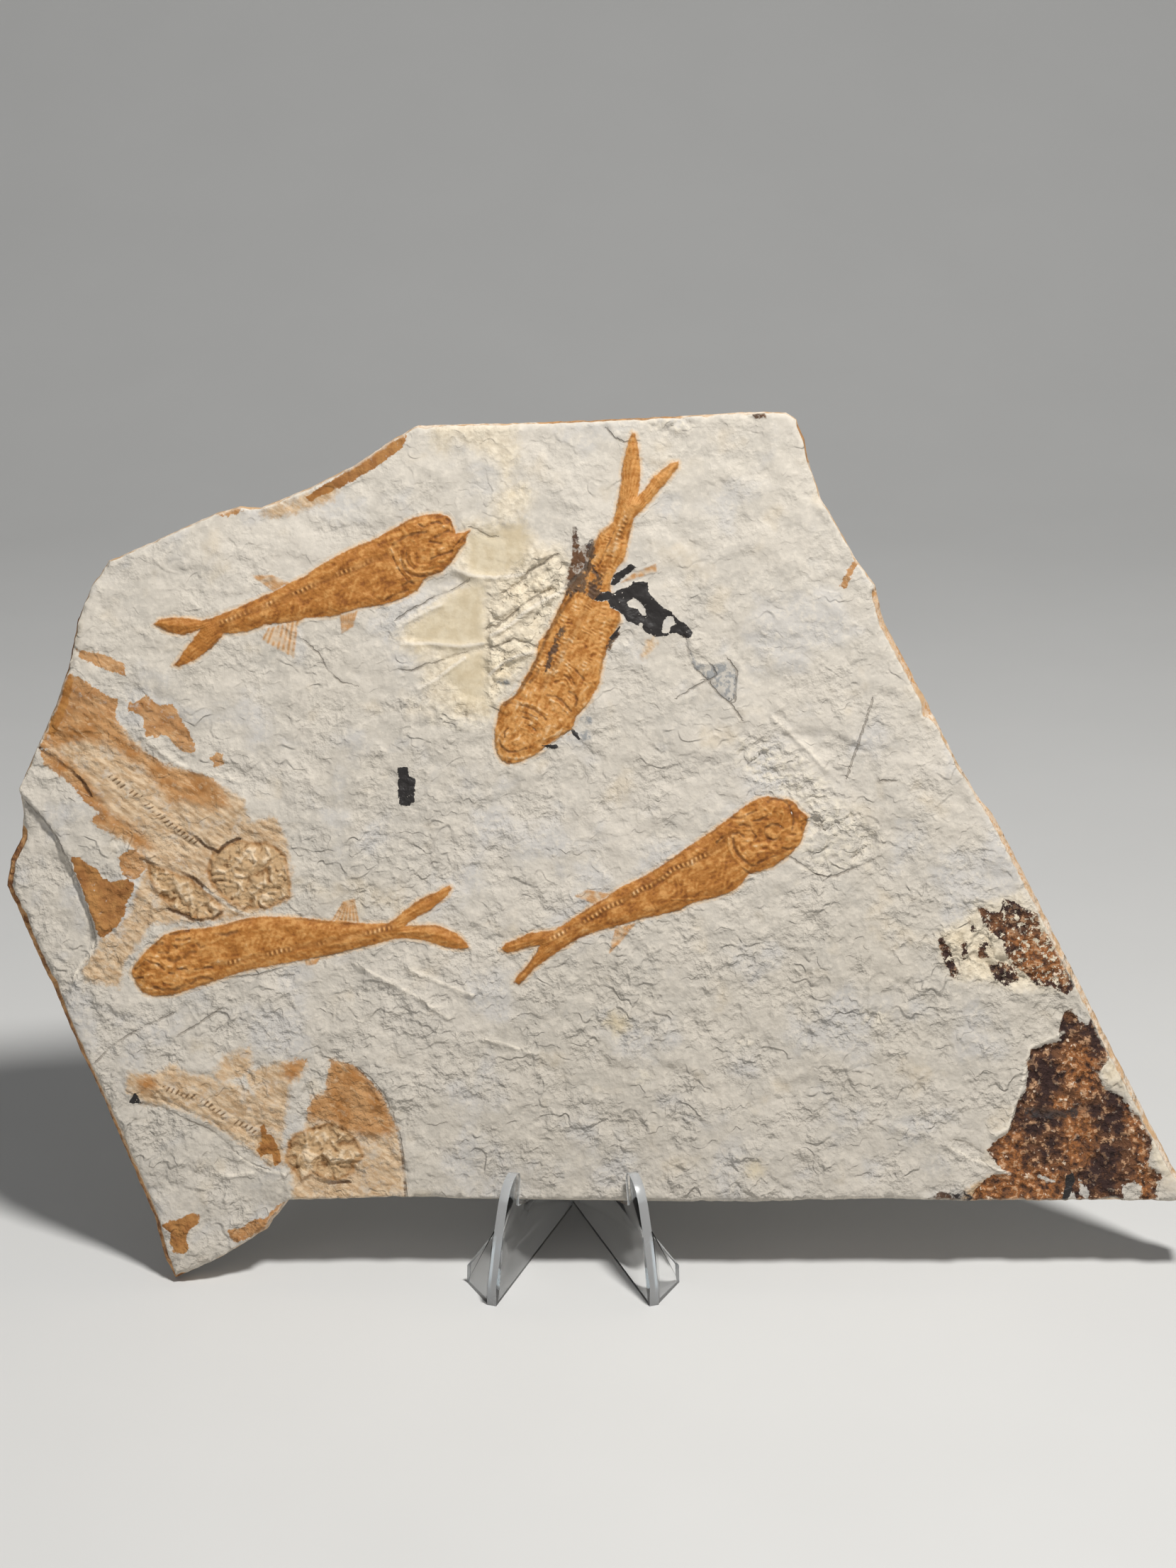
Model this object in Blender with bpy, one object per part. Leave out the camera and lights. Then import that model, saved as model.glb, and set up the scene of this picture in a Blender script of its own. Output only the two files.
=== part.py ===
"""Fossil fish slab in a clear plastic easel.

A thin split sheet of pale flaky limestone with four small fossil fish, older film, chips and ledges on
its face. It leans back in two clear plates that slot through each other behind it. Millimetres are used
throughout and scaled to metres as each mesh is made. The object stands on z = 0, faces -Y, and its
origin is under the middle of its bounding box.
"""

import math

import bmesh
import bpy
import numpy as np
from mathutils import Vector, noise
from mathutils.geometry import delaunay_2d_cdt

# ---------------------------------------------------------------- driving dimensions, mm
MM = 0.001
GAP = 0.35  # air between pieces that touch

SLAB_THICKNESS = 7.5
SLAB_LEAN = math.radians(17.0)  # the face leans back from upright
SLAB_LOWER_EDGE_Z = 16.6  # the front lower edge above the table

FISH_RISE = 0.9  # a fish body above the face around it
LEDGE_STEP = 1.2  # the lower bedding layer at the left edge
RUST_STEP = 0.6
RIM_INSET = 1.2  # the front edge inside the widest outline
RIM_DEPTH = 2.6  # the widest outline below the face
BACK_INSET = 0.7

PLATE_THICKNESS = 2.0
BRACE_THICKNESS = 1.9
PLATE_TURN = 0.345  # a plate moves in by this share of the way back
TIP_X = 16.6  # middle of a plate's front tip from the stand's centre
TIP_Y = -13.2  # front tips, ahead of the slab's lower front edge
SLOT_WIDTH = 7.0
SLOT_HEIGHT = 28.0

# ---------------------------------------------------------------- outlines on the slab's face, mm
# u runs right from the stand's centre line and v runs up the face from the lower front edge.
SLAB = [
    (-95.2, 132.3), (-86.3, 136.2), (-81.6, 138.3), (-73.3, 142.0), (-68.2, 143.5), (-63.9, 143.2),
    (-54.4, 147.1), (-45.0, 151.7), (-36.6, 157.3), (-31.7, 160.0), (-9.7, 160.5), (10.1, 161.3),
    (23.4, 162.0), (36.1, 162.8), (43.6, 162.6), (45.8, 161.2), (47.5, 157.1), (48.1, 153.3),
    (50.7, 145.6), (57.6, 133.5), (62.0, 127.3), (63.9, 119.7), (73.1, 102.8), (79.3, 90.6),
    (84.0, 82.9), (86.3, 80.5), (91.7, 70.5), (99.6, 55.0), (104.3, 45.8), (112.1, 30.3),
    (119.8, 15.4), (124.3, 6.9), (128.0, 0.2), (83.0, 0.1), (64.4, 0.7),
    (36.5, 0.0), (-9.9, 0.6), (-34.3, 1.0), (-58.6, 0.4), (-63.4, -5.9),
    (-72.4, -11.5), (-82.4, -16.1), (-84.4, -12.6), (-86.9, -3.1), (-90.3, 4.9), (-95.7, 17.8),
    (-99.6, 26.8), (-102.0, 31.6), (-106.6, 42.7), (-110.8, 51.8), (-114.9, 61.3), (-116.8, 65.4),
    (-116.0, 70.8), (-113.6, 75.4), (-113.3, 80.8), (-114.0, 85.5), (-110.1, 94.4),
    (-106.7, 101.9), (-104.5, 108.0), (-103.3, 112.5), (-101.7, 120.2), (-98.7, 127.3),
]
FISH = {
    "upper_left": [
        (-85.6, 120.2), (-79.2, 119.3), (-75.0, 120.2), (-67.3, 122.9), (-61.6, 126.3), (-56.1, 128.6),
        (-47.8, 133.5), (-39.4, 138.0), (-33.9, 140.7), (-30.1, 141.4), (-25.2, 141.7), (-20.7, 138.3),
        (-24.4, 132.3), (-29.7, 128.6), (-33.5, 124.7), (-39.5, 122.9), (-47.9, 120.8), (-55.6, 120.2),
        (-64.4, 118.0), (-71.1, 117.1), (-78.1, 114.2), (-81.4, 110.5), (-76.2, 118.6),
    ],
    "upper_middle": [
        (12.1, 158.0), (13.6, 147.3), (21.5, 152.0), (15.4, 144.6), (10.8, 133.5), (8.5, 129.6),
        (9.7, 122.5), (8.1, 116.9), (6.3, 110.2), (4.2, 104.1), (-0.3, 97.4), (-5.9, 93.6),
        (-12.5, 90.3), (-14.7, 92.5), (-15.6, 99.2), (-13.7, 104.1), (-8.6, 111.9), (-4.8, 118.6),
        (-0.9, 126.8), (3.6, 132.3), (7.8, 138.5), (11.8, 145.3),
    ],
    "lower_left": [
        (-91.6, 48.4), (-86.6, 52.8), (-82.1, 55.6), (-75.3, 57.4), (-67.6, 58.7), (-56.4, 59.0),
        (-45.3, 58.2), (-38.1, 57.9), (-33.3, 59.7), (-25.1, 65.7), (-30.3, 58.2), (-21.8, 52.5),
        (-30.8, 54.9), (-39.7, 54.3), (-50.9, 51.5), (-62.0, 48.4), (-73.2, 45.7), (-81.5, 43.3),
        (-86.7, 43.0), (-90.6, 44.5),
    ],
    "lower_right": [
        (-15.4, 52.5), (-6.8, 55.0), (0.5, 58.2), (8.2, 61.4), (17.7, 66.3), (27.9, 74.3),
        (35.1, 80.8), (41.2, 84.2), (48.4, 79.2), (46.8, 73.8), (40.1, 68.9), (27.9, 62.8),
        (17.7, 58.2), (7.8, 55.0), (-2.7, 51.7), (-12.0, 45.7), (-8.5, 52.4),
    ],
}
# The lower layer lies between this broken edge and the slab's left side.
LEDGE = [
    (-120.0, 86.0), (-113.3, 84.2), (-109.7, 80.3), (-106.4, 75.7), (-103.6, 69.6), (-100.9, 63.5),
    (-98.5, 57.4), (-97.9, 54.0), (-98.5, 51.8), (-102.8, 45.7), (-105.5, 38.5), (-112.0, 36.0),
    (-122.0, 60.0),
]
# Each flake scar, shelf or lump: outline, rise in mm and the width of its slope in mm.
PATCHES = {
    "cream_flake": (
        [(-33.5, 128.0), (-24.4, 129.2), (-17.4, 126.5), (-17.2, 115.7), (-17.8, 104.1), (-24.4, 105.5),
         (-28.5, 113.5), (-33.1, 116.4)], -0.9, 0.8),
    "upper_flake": (
        [(-22.5, 130.9), (-17.1, 136.7), (-10.3, 138.0), (-9.9, 132.3), (-15.7, 129.6), (-20.8, 129.2)],
        -0.8, 0.8),
    "top_flake": (
        [(-17.0, 140.7), (-14.9, 146.0), (-9.9, 147.3), (-8.6, 143.9), (-10.6, 139.6)], -0.7, 0.8),
    "rough_shelf": (
        [(33.6, 93.2), (40.9, 96.8), (52.5, 97.6), (60.5, 93.2), (64.2, 83.0), (60.6, 72.8),
         (54.1, 67.0), (48.2, 70.6), (42.4, 85.9), (36.6, 88.1)], -0.6, 1.2),
    "rust_step": (
        [(100.3, 36.3), (94.2, 32.0), (93.0, 25.9), (91.2, 22.1), (90.3, 15.3), (86.3, 11.6),
         (86.9, 7.2), (80.2, 2.4), (80.0, -4.0), (134.0, -4.0), (121.5, 18.0), (109.6, 38.0)],
        -RUST_STEP, 0.8),
    "fan": (
        [(-49.8, 29.5), (-40.9, 24.0), (-37.0, 16.6), (-34.8, 9.9), (-34.6, 3.9), (-48.0, 3.9),
         (-53.8, 8.4), (-53.1, 20.2)], 0.35, 1.2),
    "lump": (
        [(-58.8, 11.3), (-55.3, 15.7), (-48.0, 16.6), (-43.2, 12.8), (-44.4, 6.2), (-50.9, 4.2),
         (-56.8, 5.4)], 0.6, 2.4),
    "old_skull": (
        [(-74.3, 68.5), (-71.0, 73.6), (-65.2, 75.2), (-59.4, 72.1), (-58.1, 66.3), (-62.4, 61.9),
         (-69.6, 60.7), (-73.7, 63.8)], 0.5, 2.0),
    "old_jaw": (
        [(-102.3, 69.2), (-95.8, 70.6), (-90.0, 67.7), (-92.2, 61.2), (-95.9, 54.6), (-97.9, 58.2)],
        0.4, 1.2),
}
# Low ridges and cracks on the face: points along them, rise and half width.
STROKES = {
    "old_spine": ([(-96.7, 90.8), (-90.0, 86.5), (-83.0, 80.5), (-76.3, 74.3)], 0.3, 1.2),
    "crack_left": (
        [(-101.2, 29.7), (-96.1, 31.9), (-90.2, 37.8), (-82.2, 40.0), (-76.0, 37.6)], -0.5, 0.9),
    "flake_ridge": (
        [(-36.0, 126.0), (-34.6, 121.0), (-34.9, 115.0), (-29.5, 111.0), (-26.0, 103.0)], 0.5, 0.8),
    "upper_ridge": ([(-24.0, 133.0), (-19.0, 139.5), (-17.5, 146.5), (-11.0, 149.5)], 0.45, 0.8),
    "right_ridge": ([(33.0, 95.5), (41.0, 99.0), (53.0, 99.6), (62.0, 95.0)], 0.35, 0.9),
    "lower_spine": ([(-88.6, 24.7), (-73.0, 19.8), (-64.1, 12.0)], 0.25, 0.9),
}

# A stand plate's side view, mm: distance back from the front tip, height.
PLATE_FRONT = [
    (0.0, 0.0), (0.0, 4.6), (1.7, 8.0), (4.4, 14.5), (7.0, 19.7), (8.8, 22.1), (10.8, 23.4),
    (12.8, 23.9), (14.4, 23.4), (15.0, 22.0),
]
PLATE_BACK = [
    (40.6, 71.4), (42.0, 73.0), (44.0, 73.2), (46.0, 71.8), (51.0, 59.0), (58.0, 43.0),
    (66.0, 26.0), (73.5, 13.5), (81.0, 6.2), (83.0, 4.0), (83.4, 0.0),
]


# ---------------------------------------------------------------- plane geometry
def inside(points, polygon):
    """Which points lie in the polygon."""
    held = np.zeros(len(points), bool)
    x, y = points[:, 0], points[:, 1]
    for (x0, y0), (x1, y1) in zip(polygon, polygon[1:] + polygon[:1]):
        if y0 == y1:
            continue
        crosses = (y0 > y) != (y1 > y)
        held ^= crosses & (x < (x1 - x0) * (y - y0) / (y1 - y0) + x0)
    return held


def line_distance(points, line):
    """Distance from each point to an open line."""
    best = np.full(len(points), 1e9)
    for a, b in zip(line, line[1:]):
        a, b = np.array(a, float), np.array(b, float)
        along = np.clip((points - a) @ (b - a) / ((b - a) @ (b - a)), 0.0, 1.0)
        best = np.minimum(best, np.linalg.norm(points - a - along[:, None] * (b - a), axis=1))
    return best


def depth_in(points, polygon):
    """Distance to the outline, positive inside it."""
    distance = line_distance(points, polygon + polygon[:1])
    return np.where(inside(points, polygon), distance, -distance)


def smooth(x):
    x = np.clip(x, 0.0, 1.0)
    return x * x * (3.0 - 2.0 * x)


def ripple(points, size, seed):
    """Soft noise from about -1 to 1 with features of the given size."""
    return np.array([noise.noise(Vector((u / size, v / size, seed))) for u, v in points]) * 1.6


def resampled(line, step):
    """Points along a line at about the given step, keeping its corners."""
    out = []
    for a, b in zip(line, line[1:]):
        a, b = np.array(a, float), np.array(b, float)
        count = max(1, round(np.linalg.norm(b - a) / step))
        out.extend(a + (b - a) * i / count for i in range(count))
    return np.array(out + [np.array(line[-1], float)])


def moved_out(ring, amount):
    """A clockwise closed ring moved outwards, or inwards where the amount is negative."""
    ahead = np.roll(ring, -1, axis=0) - np.roll(ring, 1, axis=0)
    ahead /= np.linalg.norm(ahead, axis=1)[:, None]
    outward = np.stack([-ahead[:, 1], ahead[:, 0]], axis=1)
    return ring + outward * np.asarray(amount).reshape(-1, 1)


# ---------------------------------------------------------------- the slab's face
def face_height(points):
    """Height of the split face, in mm towards the viewer."""
    height = 0.35 * ripple(points, 34.0, 3.1) + 0.22 * ripple(points, 11.0, 8.4)
    height += 0.2 * ripple(points, 4.6, 5.7)
    for outline in FISH.values():
        height += FISH_RISE * smooth((depth_in(points, outline) + 0.5) / 2.2)
    for outline, rise, slope in PATCHES.values():
        height += rise * smooth(depth_in(points, outline) / slope + 0.5)
    height -= LEDGE_STEP * smooth(depth_in(points, LEDGE) / 0.9 + 0.5)
    for line, rise, half_width in STROKES.values():
        height += rise * smooth(1.0 - line_distance(points, line) / half_width)
    held = smooth((24.0 - np.abs(points[:, 0])) / 6.0) * smooth((15.0 - points[:, 1]) / 5.0)
    return height - held * (height.clip(0.0, None) + 0.1)


def face_points(ring, rng):
    """Points that carry the relief: pairs along each outline and a loose grid between them."""
    chosen = []

    def keep(candidates, apart):
        for point in candidates:
            if all(abs(point[0] - q[0]) + abs(point[1] - q[1]) > apart for q in chosen):
                chosen.append(point)

    for outline in FISH.values():
        ring_points = resampled(outline + outline[:1], 3.4)[:-1]
        keep(ring_points, 1.0)
        keep([p for p in moved_out(ring_points, -1.7) if depth_in(p[None], outline)[0] > 0.9], 1.1)
    for outline, _, slope in PATCHES.values():
        ring_points = resampled(outline + outline[:1], 3.2)[:-1]
        keep(moved_out(ring_points, 0.55 * slope), 0.8)
        keep(moved_out(ring_points, -0.55 * slope), 0.8)
    for line, _, half_width in STROKES.values():
        along = resampled(line, 2.6)
        keep(along, 0.8)
        keep(along + (0.0, half_width), 0.8)
        keep(along - (0.0, half_width), 0.8)
    edge = resampled(LEDGE[:-1], 2.8)
    keep(moved_out(edge, 0.5)[1:-1], 0.8)
    keep(moved_out(edge, -0.5)[1:-1], 0.8)
    step = 4.3
    for i, v in enumerate(np.arange(-14.0, 164.0, step * 0.87)):
        row = np.arange(-118.0, 130.0, step) + (i % 2) * step / 2
        keep([np.array([u, v]) + rng.uniform(-0.9, 0.9, 2) for u in row], 3.2)
    chosen = np.array(chosen)
    return chosen[depth_in(chosen, [tuple(p) for p in ring]) > 1.3]


def sheet(ring, inner):
    """Triangles over a ring and the points inside it, numbered ring first."""
    points = [Vector(p) for p in np.concatenate([ring, inner])]
    edges = [(i, (i + 1) % len(ring)) for i in range(len(ring))]
    found, _, faces, sources, _, _ = delaunay_2d_cdt(points, edges, [], 0, 1e-5)
    centres = np.array([sum((found[i] for i in face), Vector((0, 0))) / 3 for face in faces])
    wanted = inside(centres, [tuple(p) for p in ring])
    return [[sources[i][0] for i in face] for face, kept in zip(faces, wanted) if kept]


def slab_point(u, v, height):
    """A point on the leaning slab, in mm."""
    return (
        u,
        v * math.sin(SLAB_LEAN) - height * math.cos(SLAB_LEAN),
        SLAB_LOWER_EDGE_Z + v * math.cos(SLAB_LEAN) + height * math.sin(SLAB_LEAN),
    )


def make_slab():
    rng = np.random.default_rng(11)
    widest = resampled(SLAB + SLAB[:1], 3.6)[:-1]
    resting = (np.abs(widest[:, 0]) < 26.0) & (widest[:, 1] < 5.0)
    chips = np.where(resting, 0.0, np.clip(rng.normal(0.0, 0.45, len(widest)), -0.5, 1.1))
    front = moved_out(widest, -(RIM_INSET + 0.7 * chips))
    # The lowest corner has split away at the back, so it is thinner and stays clear of the table.
    thin = smooth((-4.0 - widest[:, 1]) / 9.0)
    back = moved_out(widest, -(BACK_INSET + 0.5 * np.abs(chips) + 1.2 * thin))
    inner = face_points(front, rng)
    step = 8.5
    grid = [(u + (i % 2) * step / 2, v) for i, v in enumerate(np.arange(-14.0, 164.0, step * 0.87))
            for u in np.arange(-118.0, 130.0, step)]
    behind = np.array(grid) + rng.uniform(-1.5, 1.5, (len(grid), 2))
    behind = behind[depth_in(behind, [tuple(p) for p in back]) > 3.0]

    vertices, faces = [], []

    def add(points, heights):
        start = len(vertices)
        vertices.extend(slab_point(u, v, h) for (u, v), h in zip(points, heights))
        return start

    rings = len(widest)
    face_start = add(front, face_height(front) - 0.25 - 0.4 * np.abs(chips))
    add(inner, face_height(inner))
    middle = add(widest, -RIM_DEPTH - 1.3 * chips)
    hollow = 0.45 * ripple(behind, 26.0, 15.2) + 0.2 * ripple(behind, 8.0, 2.6)
    back_start = add(back, -SLAB_THICKNESS + 0.6 + 0.4 * np.abs(chips) + 2.6 * thin)
    thin = smooth((-4.0 - behind[:, 1]) / 9.0)
    add(behind, -SLAB_THICKNESS + 0.45 + hollow.clip(-0.45, 0.9) + 2.6 * thin)

    for a, b, c in sheet(front, inner):
        faces.append((a + face_start, b + face_start, c + face_start))
    for a, b, c in sheet(back, behind):
        faces.append((c + back_start, b + back_start, a + back_start))
    for i in range(rings):
        j = (i + 1) % rings
        for upper, lower in ((face_start, middle), (middle, back_start)):
            faces.append((upper + i, upper + j, lower + j))
            faces.append((upper + i, lower + j, lower + i))
    return made("slab", vertices, faces)


# ---------------------------------------------------------------- the stand
def plate_profile(slot_from_top):
    """A plate's closed side view with its half of the cross slot."""
    run = math.hypot(1.0, PLATE_TURN)

    def back_along(y):
        return (y - TIP_Y) * run

    corner_z = SLAB_LOWER_EDGE_Z - GAP
    corner = (back_along(-GAP), corner_z)
    depth = SLAB_THICKNESS + 2 * GAP
    ledge_end = (
        corner[0] + depth * math.cos(SLAB_LEAN) * run,
        corner_z - depth * math.sin(SLAB_LEAN),
    )
    cross = TIP_X / PLATE_TURN * run
    left, right = cross - SLOT_WIDTH / 2, cross + SLOT_WIDTH / 2
    points = list(PLATE_FRONT) + [corner, ledge_end]
    if slot_from_top:
        back = [p for p in PLATE_BACK if p[0] < left]
        back += [(left, 68.2), (left, SLOT_HEIGHT), (right, SLOT_HEIGHT), (right, 51.2)]
        back += [p for p in PLATE_BACK if p[0] > right]
        points += back
    else:
        points += PLATE_BACK
        points += [(right, 0.0), (right, SLOT_HEIGHT + GAP), (left, SLOT_HEIGHT + GAP), (left, 0.0)]
    return points


def make_plate(name, side, slot_from_top):
    """One upright plate, side -1 for the left front tip and 1 for the right."""
    run = math.hypot(1.0, PLATE_TURN)
    normal = np.array([1.0, side * PLATE_TURN]) / run

    def placed(along, across):
        """Plan position from the distance back along the plate and across it."""
        base = np.array([side * (TIP_X - along * PLATE_TURN / run), TIP_Y + along / run])
        return base + normal * across

    profile = plate_profile(slot_from_top)
    count = len(profile)
    vertices = []
    for across in (-PLATE_THICKNESS / 2, PLATE_THICKNESS / 2):
        vertices += [(*placed(along, across), z) for along, z in profile]
    faces = [tuple(range(count)), tuple(range(2 * count - 1, count - 1, -1))]
    for i in range(count):
        j = (i + 1) % count
        faces.append((j, i, i + count, j + count))
    web = made(name, vertices, faces)

    # A thin brace runs from half way up the front edge out to a small foot on the table.
    front = np.array([
        (side * 17.3, -12.9, 0.0), (side * 16.0, -8.9, 14.6),
        (side * 21.9, -3.4, 4.0), (side * 22.0, -3.3, 0.0),
    ])
    behind = front + BRACE_THICKNESS * np.array([-side * 0.89, 0.42, 0.0])
    brace = hull("brace", np.concatenate([front, behind]))
    joined = web.modifiers.new("join", "BOOLEAN")
    joined.operation = "UNION"
    joined.solver = "EXACT"
    joined.object = brace
    shape = bpy.data.meshes.new_from_object(web.evaluated_get(bpy.context.evaluated_depsgraph_get()))
    web.modifiers.clear()
    web.data = shape
    shape.name = name
    bpy.data.objects.remove(brace)
    return web


# ---------------------------------------------------------------- meshes and materials
def made(name, vertices, faces):
    """An object from millimetre vertices, with its faces turned outwards."""
    mesh = bpy.data.meshes.new(name)
    mesh.from_pydata([[c * MM for c in v] for v in vertices], [], faces)
    shape = bmesh.new()
    shape.from_mesh(mesh)
    bmesh.ops.recalc_face_normals(shape, faces=shape.faces)
    bmesh.ops.triangulate(shape, faces=shape.faces)
    shape.to_mesh(mesh)
    shape.free()
    item = bpy.data.objects.new(name, mesh)
    bpy.context.scene.collection.objects.link(item)
    return item


def hull(name, points):
    """The convex hull of a few millimetre points."""
    shape = bmesh.new()
    for point in points:
        shape.verts.new([c * MM for c in point])
    bmesh.ops.convex_hull(shape, input=shape.verts)
    mesh = bpy.data.meshes.new(name)
    shape.to_mesh(mesh)
    shape.free()
    item = bpy.data.objects.new(name, mesh)
    bpy.context.scene.collection.objects.link(item)
    return item


def finish(item, colour, roughness, transmission=0.0):
    material = bpy.data.materials.new(item.name)
    material.use_nodes = True
    shader = material.node_tree.nodes["Principled BSDF"]
    shader.inputs["Base Color"].default_value = (*colour, 1.0)
    shader.inputs["Roughness"].default_value = roughness
    shader.inputs["Transmission Weight"].default_value = transmission
    item.data.materials.clear()
    item.data.materials.append(material)


for old in list(bpy.data.objects):
    bpy.data.objects.remove(old)

slab = make_slab()
plate_left = make_plate("stand_left", -1, False)
plate_right = make_plate("stand_right", 1, True)
finish(slab, (0.56, 0.51, 0.44), 0.9)
finish(plate_left, (0.92, 0.95, 0.95), 0.05, 1.0)
finish(plate_right, (0.92, 0.95, 0.95), 0.05, 1.0)

# The origin goes under the middle of the bounding box.
pieces = (slab, plate_left, plate_right)
corners = np.array([vertex.co for item in pieces for vertex in item.data.vertices])
low, high = corners.min(axis=0), corners.max(axis=0)
shift = Vector((-(low[0] + high[0]) / 2, -(low[1] + high[1]) / 2, -low[2]))
for item in pieces:
    for vertex in item.data.vertices:
        vertex.co += shift
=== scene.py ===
"""Looks for a slab of split limestone with four small fossil fish, held in a clear plastic easel.

The slab's face is worked in millimetres: u runs right from the easel's centre line, v runs up the face
from the lower front edge and height comes out towards the viewer. Everything is placed in metres.
"""

import math
from types import SimpleNamespace

import bmesh
import bpy
import numpy as np
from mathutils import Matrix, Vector
from mathutils.geometry import delaunay_2d_cdt


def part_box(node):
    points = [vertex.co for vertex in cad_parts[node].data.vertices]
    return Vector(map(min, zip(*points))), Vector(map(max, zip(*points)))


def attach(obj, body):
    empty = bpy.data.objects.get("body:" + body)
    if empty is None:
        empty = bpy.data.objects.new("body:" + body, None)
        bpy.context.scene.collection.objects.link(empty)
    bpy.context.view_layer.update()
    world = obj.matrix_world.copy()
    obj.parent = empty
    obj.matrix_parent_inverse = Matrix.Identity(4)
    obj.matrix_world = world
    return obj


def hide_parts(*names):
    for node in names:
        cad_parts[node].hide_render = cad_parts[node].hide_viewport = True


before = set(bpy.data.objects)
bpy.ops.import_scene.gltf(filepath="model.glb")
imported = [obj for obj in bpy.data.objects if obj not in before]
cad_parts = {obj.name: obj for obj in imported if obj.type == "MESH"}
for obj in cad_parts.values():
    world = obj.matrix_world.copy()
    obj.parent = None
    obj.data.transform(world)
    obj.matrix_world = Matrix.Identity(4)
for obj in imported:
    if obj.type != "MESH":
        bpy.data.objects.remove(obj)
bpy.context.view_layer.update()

# ==== The stone sheet ====
# A slab of thin-bedded lake limestone, split open along its bedding and broken to shape by hand. Its
# face is a mass of overlapping shallow flakes, each ending in a small curved scarp.
MM = 0.001
THICKNESS = 7.5
LEAN = math.radians(17.0)
LOWER_EDGE_Z = 16.6
LOWER_EDGE_BEHIND_TIPS = 13.53  # lower front edge behind the easel's front tips
OUTLINE = [
    (-95.2, 132.3), (-86.3, 136.2), (-81.6, 138.3), (-73.3, 142), (-68.2, 143.5), (-63.9, 143.2),
    (-54.4, 147.1), (-45, 151.7), (-36.6, 157.3), (-31.7, 160), (-9.7, 160.5), (10.1, 161.3), (23.4, 162),
    (36.1, 162.8), (43.6, 162.6), (45.8, 161.2), (47.5, 157.1), (48.1, 153.3), (50.7, 145.6), (57.6, 133.5),
    (62, 127.3), (63.9, 119.7), (73.1, 102.8), (79.3, 90.6), (84, 82.9), (86.3, 80.5), (91.7, 70.5),
    (99.6, 55), (104.3, 45.8), (112.1, 30.3), (119.8, 15.4), (124.3, 6.9), (128, 0.2), (83, 0.1),
    (64.4, 0.7), (36.5, 0), (-9.9, 0.6), (-34.3, 1), (-58.6, 0.4), (-63.4, -5.9), (-72.4, -11.5),
    (-82.4, -16.1), (-84.4, -12.6), (-86.9, -3.1), (-90.3, 4.9), (-95.7, 17.8), (-99.6, 26.8), (-102, 31.6),
    (-106.6, 42.7), (-110.8, 51.8), (-114.9, 61.3), (-116.8, 65.4), (-116, 70.8), (-113.6, 75.4),
    (-113.3, 80.8), (-114, 85.5), (-110.1, 94.4), (-106.7, 101.9), (-104.5, 108), (-103.3, 112.5),
    (-101.7, 120.2), (-98.7, 127.3),
]
FACE_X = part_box("slab")[0].x / MM - min(u for u, v in OUTLINE)
FACE_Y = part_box("stand_left")[0].y / MM + LOWER_EDGE_BEHIND_TIPS
REACH = 3.0  # no mark is felt further from its outline than this
NOISE_CELLS = 64  # soft noise repeats after this many swells
FIRST_CELL = 1000.0  # keeps the cells' numbers above zero
BEND = 2.2  # how far the flakes' edges wander
SWELLS = [(0.32, 36.0, 1), (0.18, 15.0, 2), (0.07, 2.2, 7), (0.035, 1.2, 8)]  # height, size, seed
# Flakes: height, size, step between them, softest scarp, size of patches with crisp scarps, seed.
FLAKES = [(0.44, 8.5, 0.42, 0.18, 6.0, 3), (0.22, 4.2, 0.5, 0.25, 4.0, 5)]


def face_point(u, v, height):
    """Places on the leaning slab, in metres."""
    return MM * np.stack([
        u + FACE_X,
        v * math.sin(LEAN) - height * math.cos(LEAN) + FACE_Y,
        LOWER_EDGE_Z + v * math.cos(LEAN) + height * math.sin(LEAN),
    ], axis=-1)


def smooth(x):
    x = np.clip(x, 0.0, 1.0)
    return x * x * (3.0 - 2.0 * x)


def swell(u, v, size, seed):
    """Soft noise from about -1 to 1, with swells of the given size in mm."""
    turns = np.random.default_rng(seed).uniform(0.0, 2.0 * math.pi, (NOISE_CELLS, NOISE_CELLS))
    x, y = u / size + FIRST_CELL, v / size + FIRST_CELL
    column, row = np.floor(x).astype(int), np.floor(y).astype(int)
    x, y = x - column, y - row
    wx, wy = (t * t * t * (t * (t * 6.0 - 15.0) + 10.0) for t in (x, y))

    def corner(across, up):
        turn = turns[(column + across) % NOISE_CELLS, (row + up) % NOISE_CELLS]
        return np.cos(turn) * (x - across) + np.sin(turn) * (y - up)

    lower = corner(0, 0) * (1.0 - wx) + corner(1, 0) * wx
    upper = corner(0, 1) * (1.0 - wx) + corner(1, 1) * wx
    return 1.6 * (lower * (1.0 - wy) + upper * wy)


def swells(u, v, *layers):
    """Layers of soft noise, each with its strength, size and seed."""
    return sum(strength * swell(u, v, size, seed) for strength, size, seed in layers)


def bent(u, v, amount, size, seed):
    """Places pushed about by soft noise."""
    return u + amount * swell(u, v, size, seed), v + amount * swell(u, v, size, seed + 1)


def stepped(value, step, softness):
    """Turns a slope into flat treads with short risers."""
    level = value / step
    whole = np.floor(level)
    return step * (whole + smooth((level - whole - 0.5) / softness + 0.5))


def bare_stone(u, v):
    """The flaky face of the stone, as a height in mm."""
    bend_u, bend_v = bent(u, v, BEND, 8.0, 11)
    height = swells(u, v, *SWELLS)
    for rise, size, step, softest, patch, seed in FLAKES:
        softness = softest + 0.6 * smooth(0.5 + 1.2 * swell(u, v, patch, seed))
        height += rise * stepped(swell(bend_u, 1.3 * bend_v, size, seed + 1), step, softness)
    return height


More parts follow.
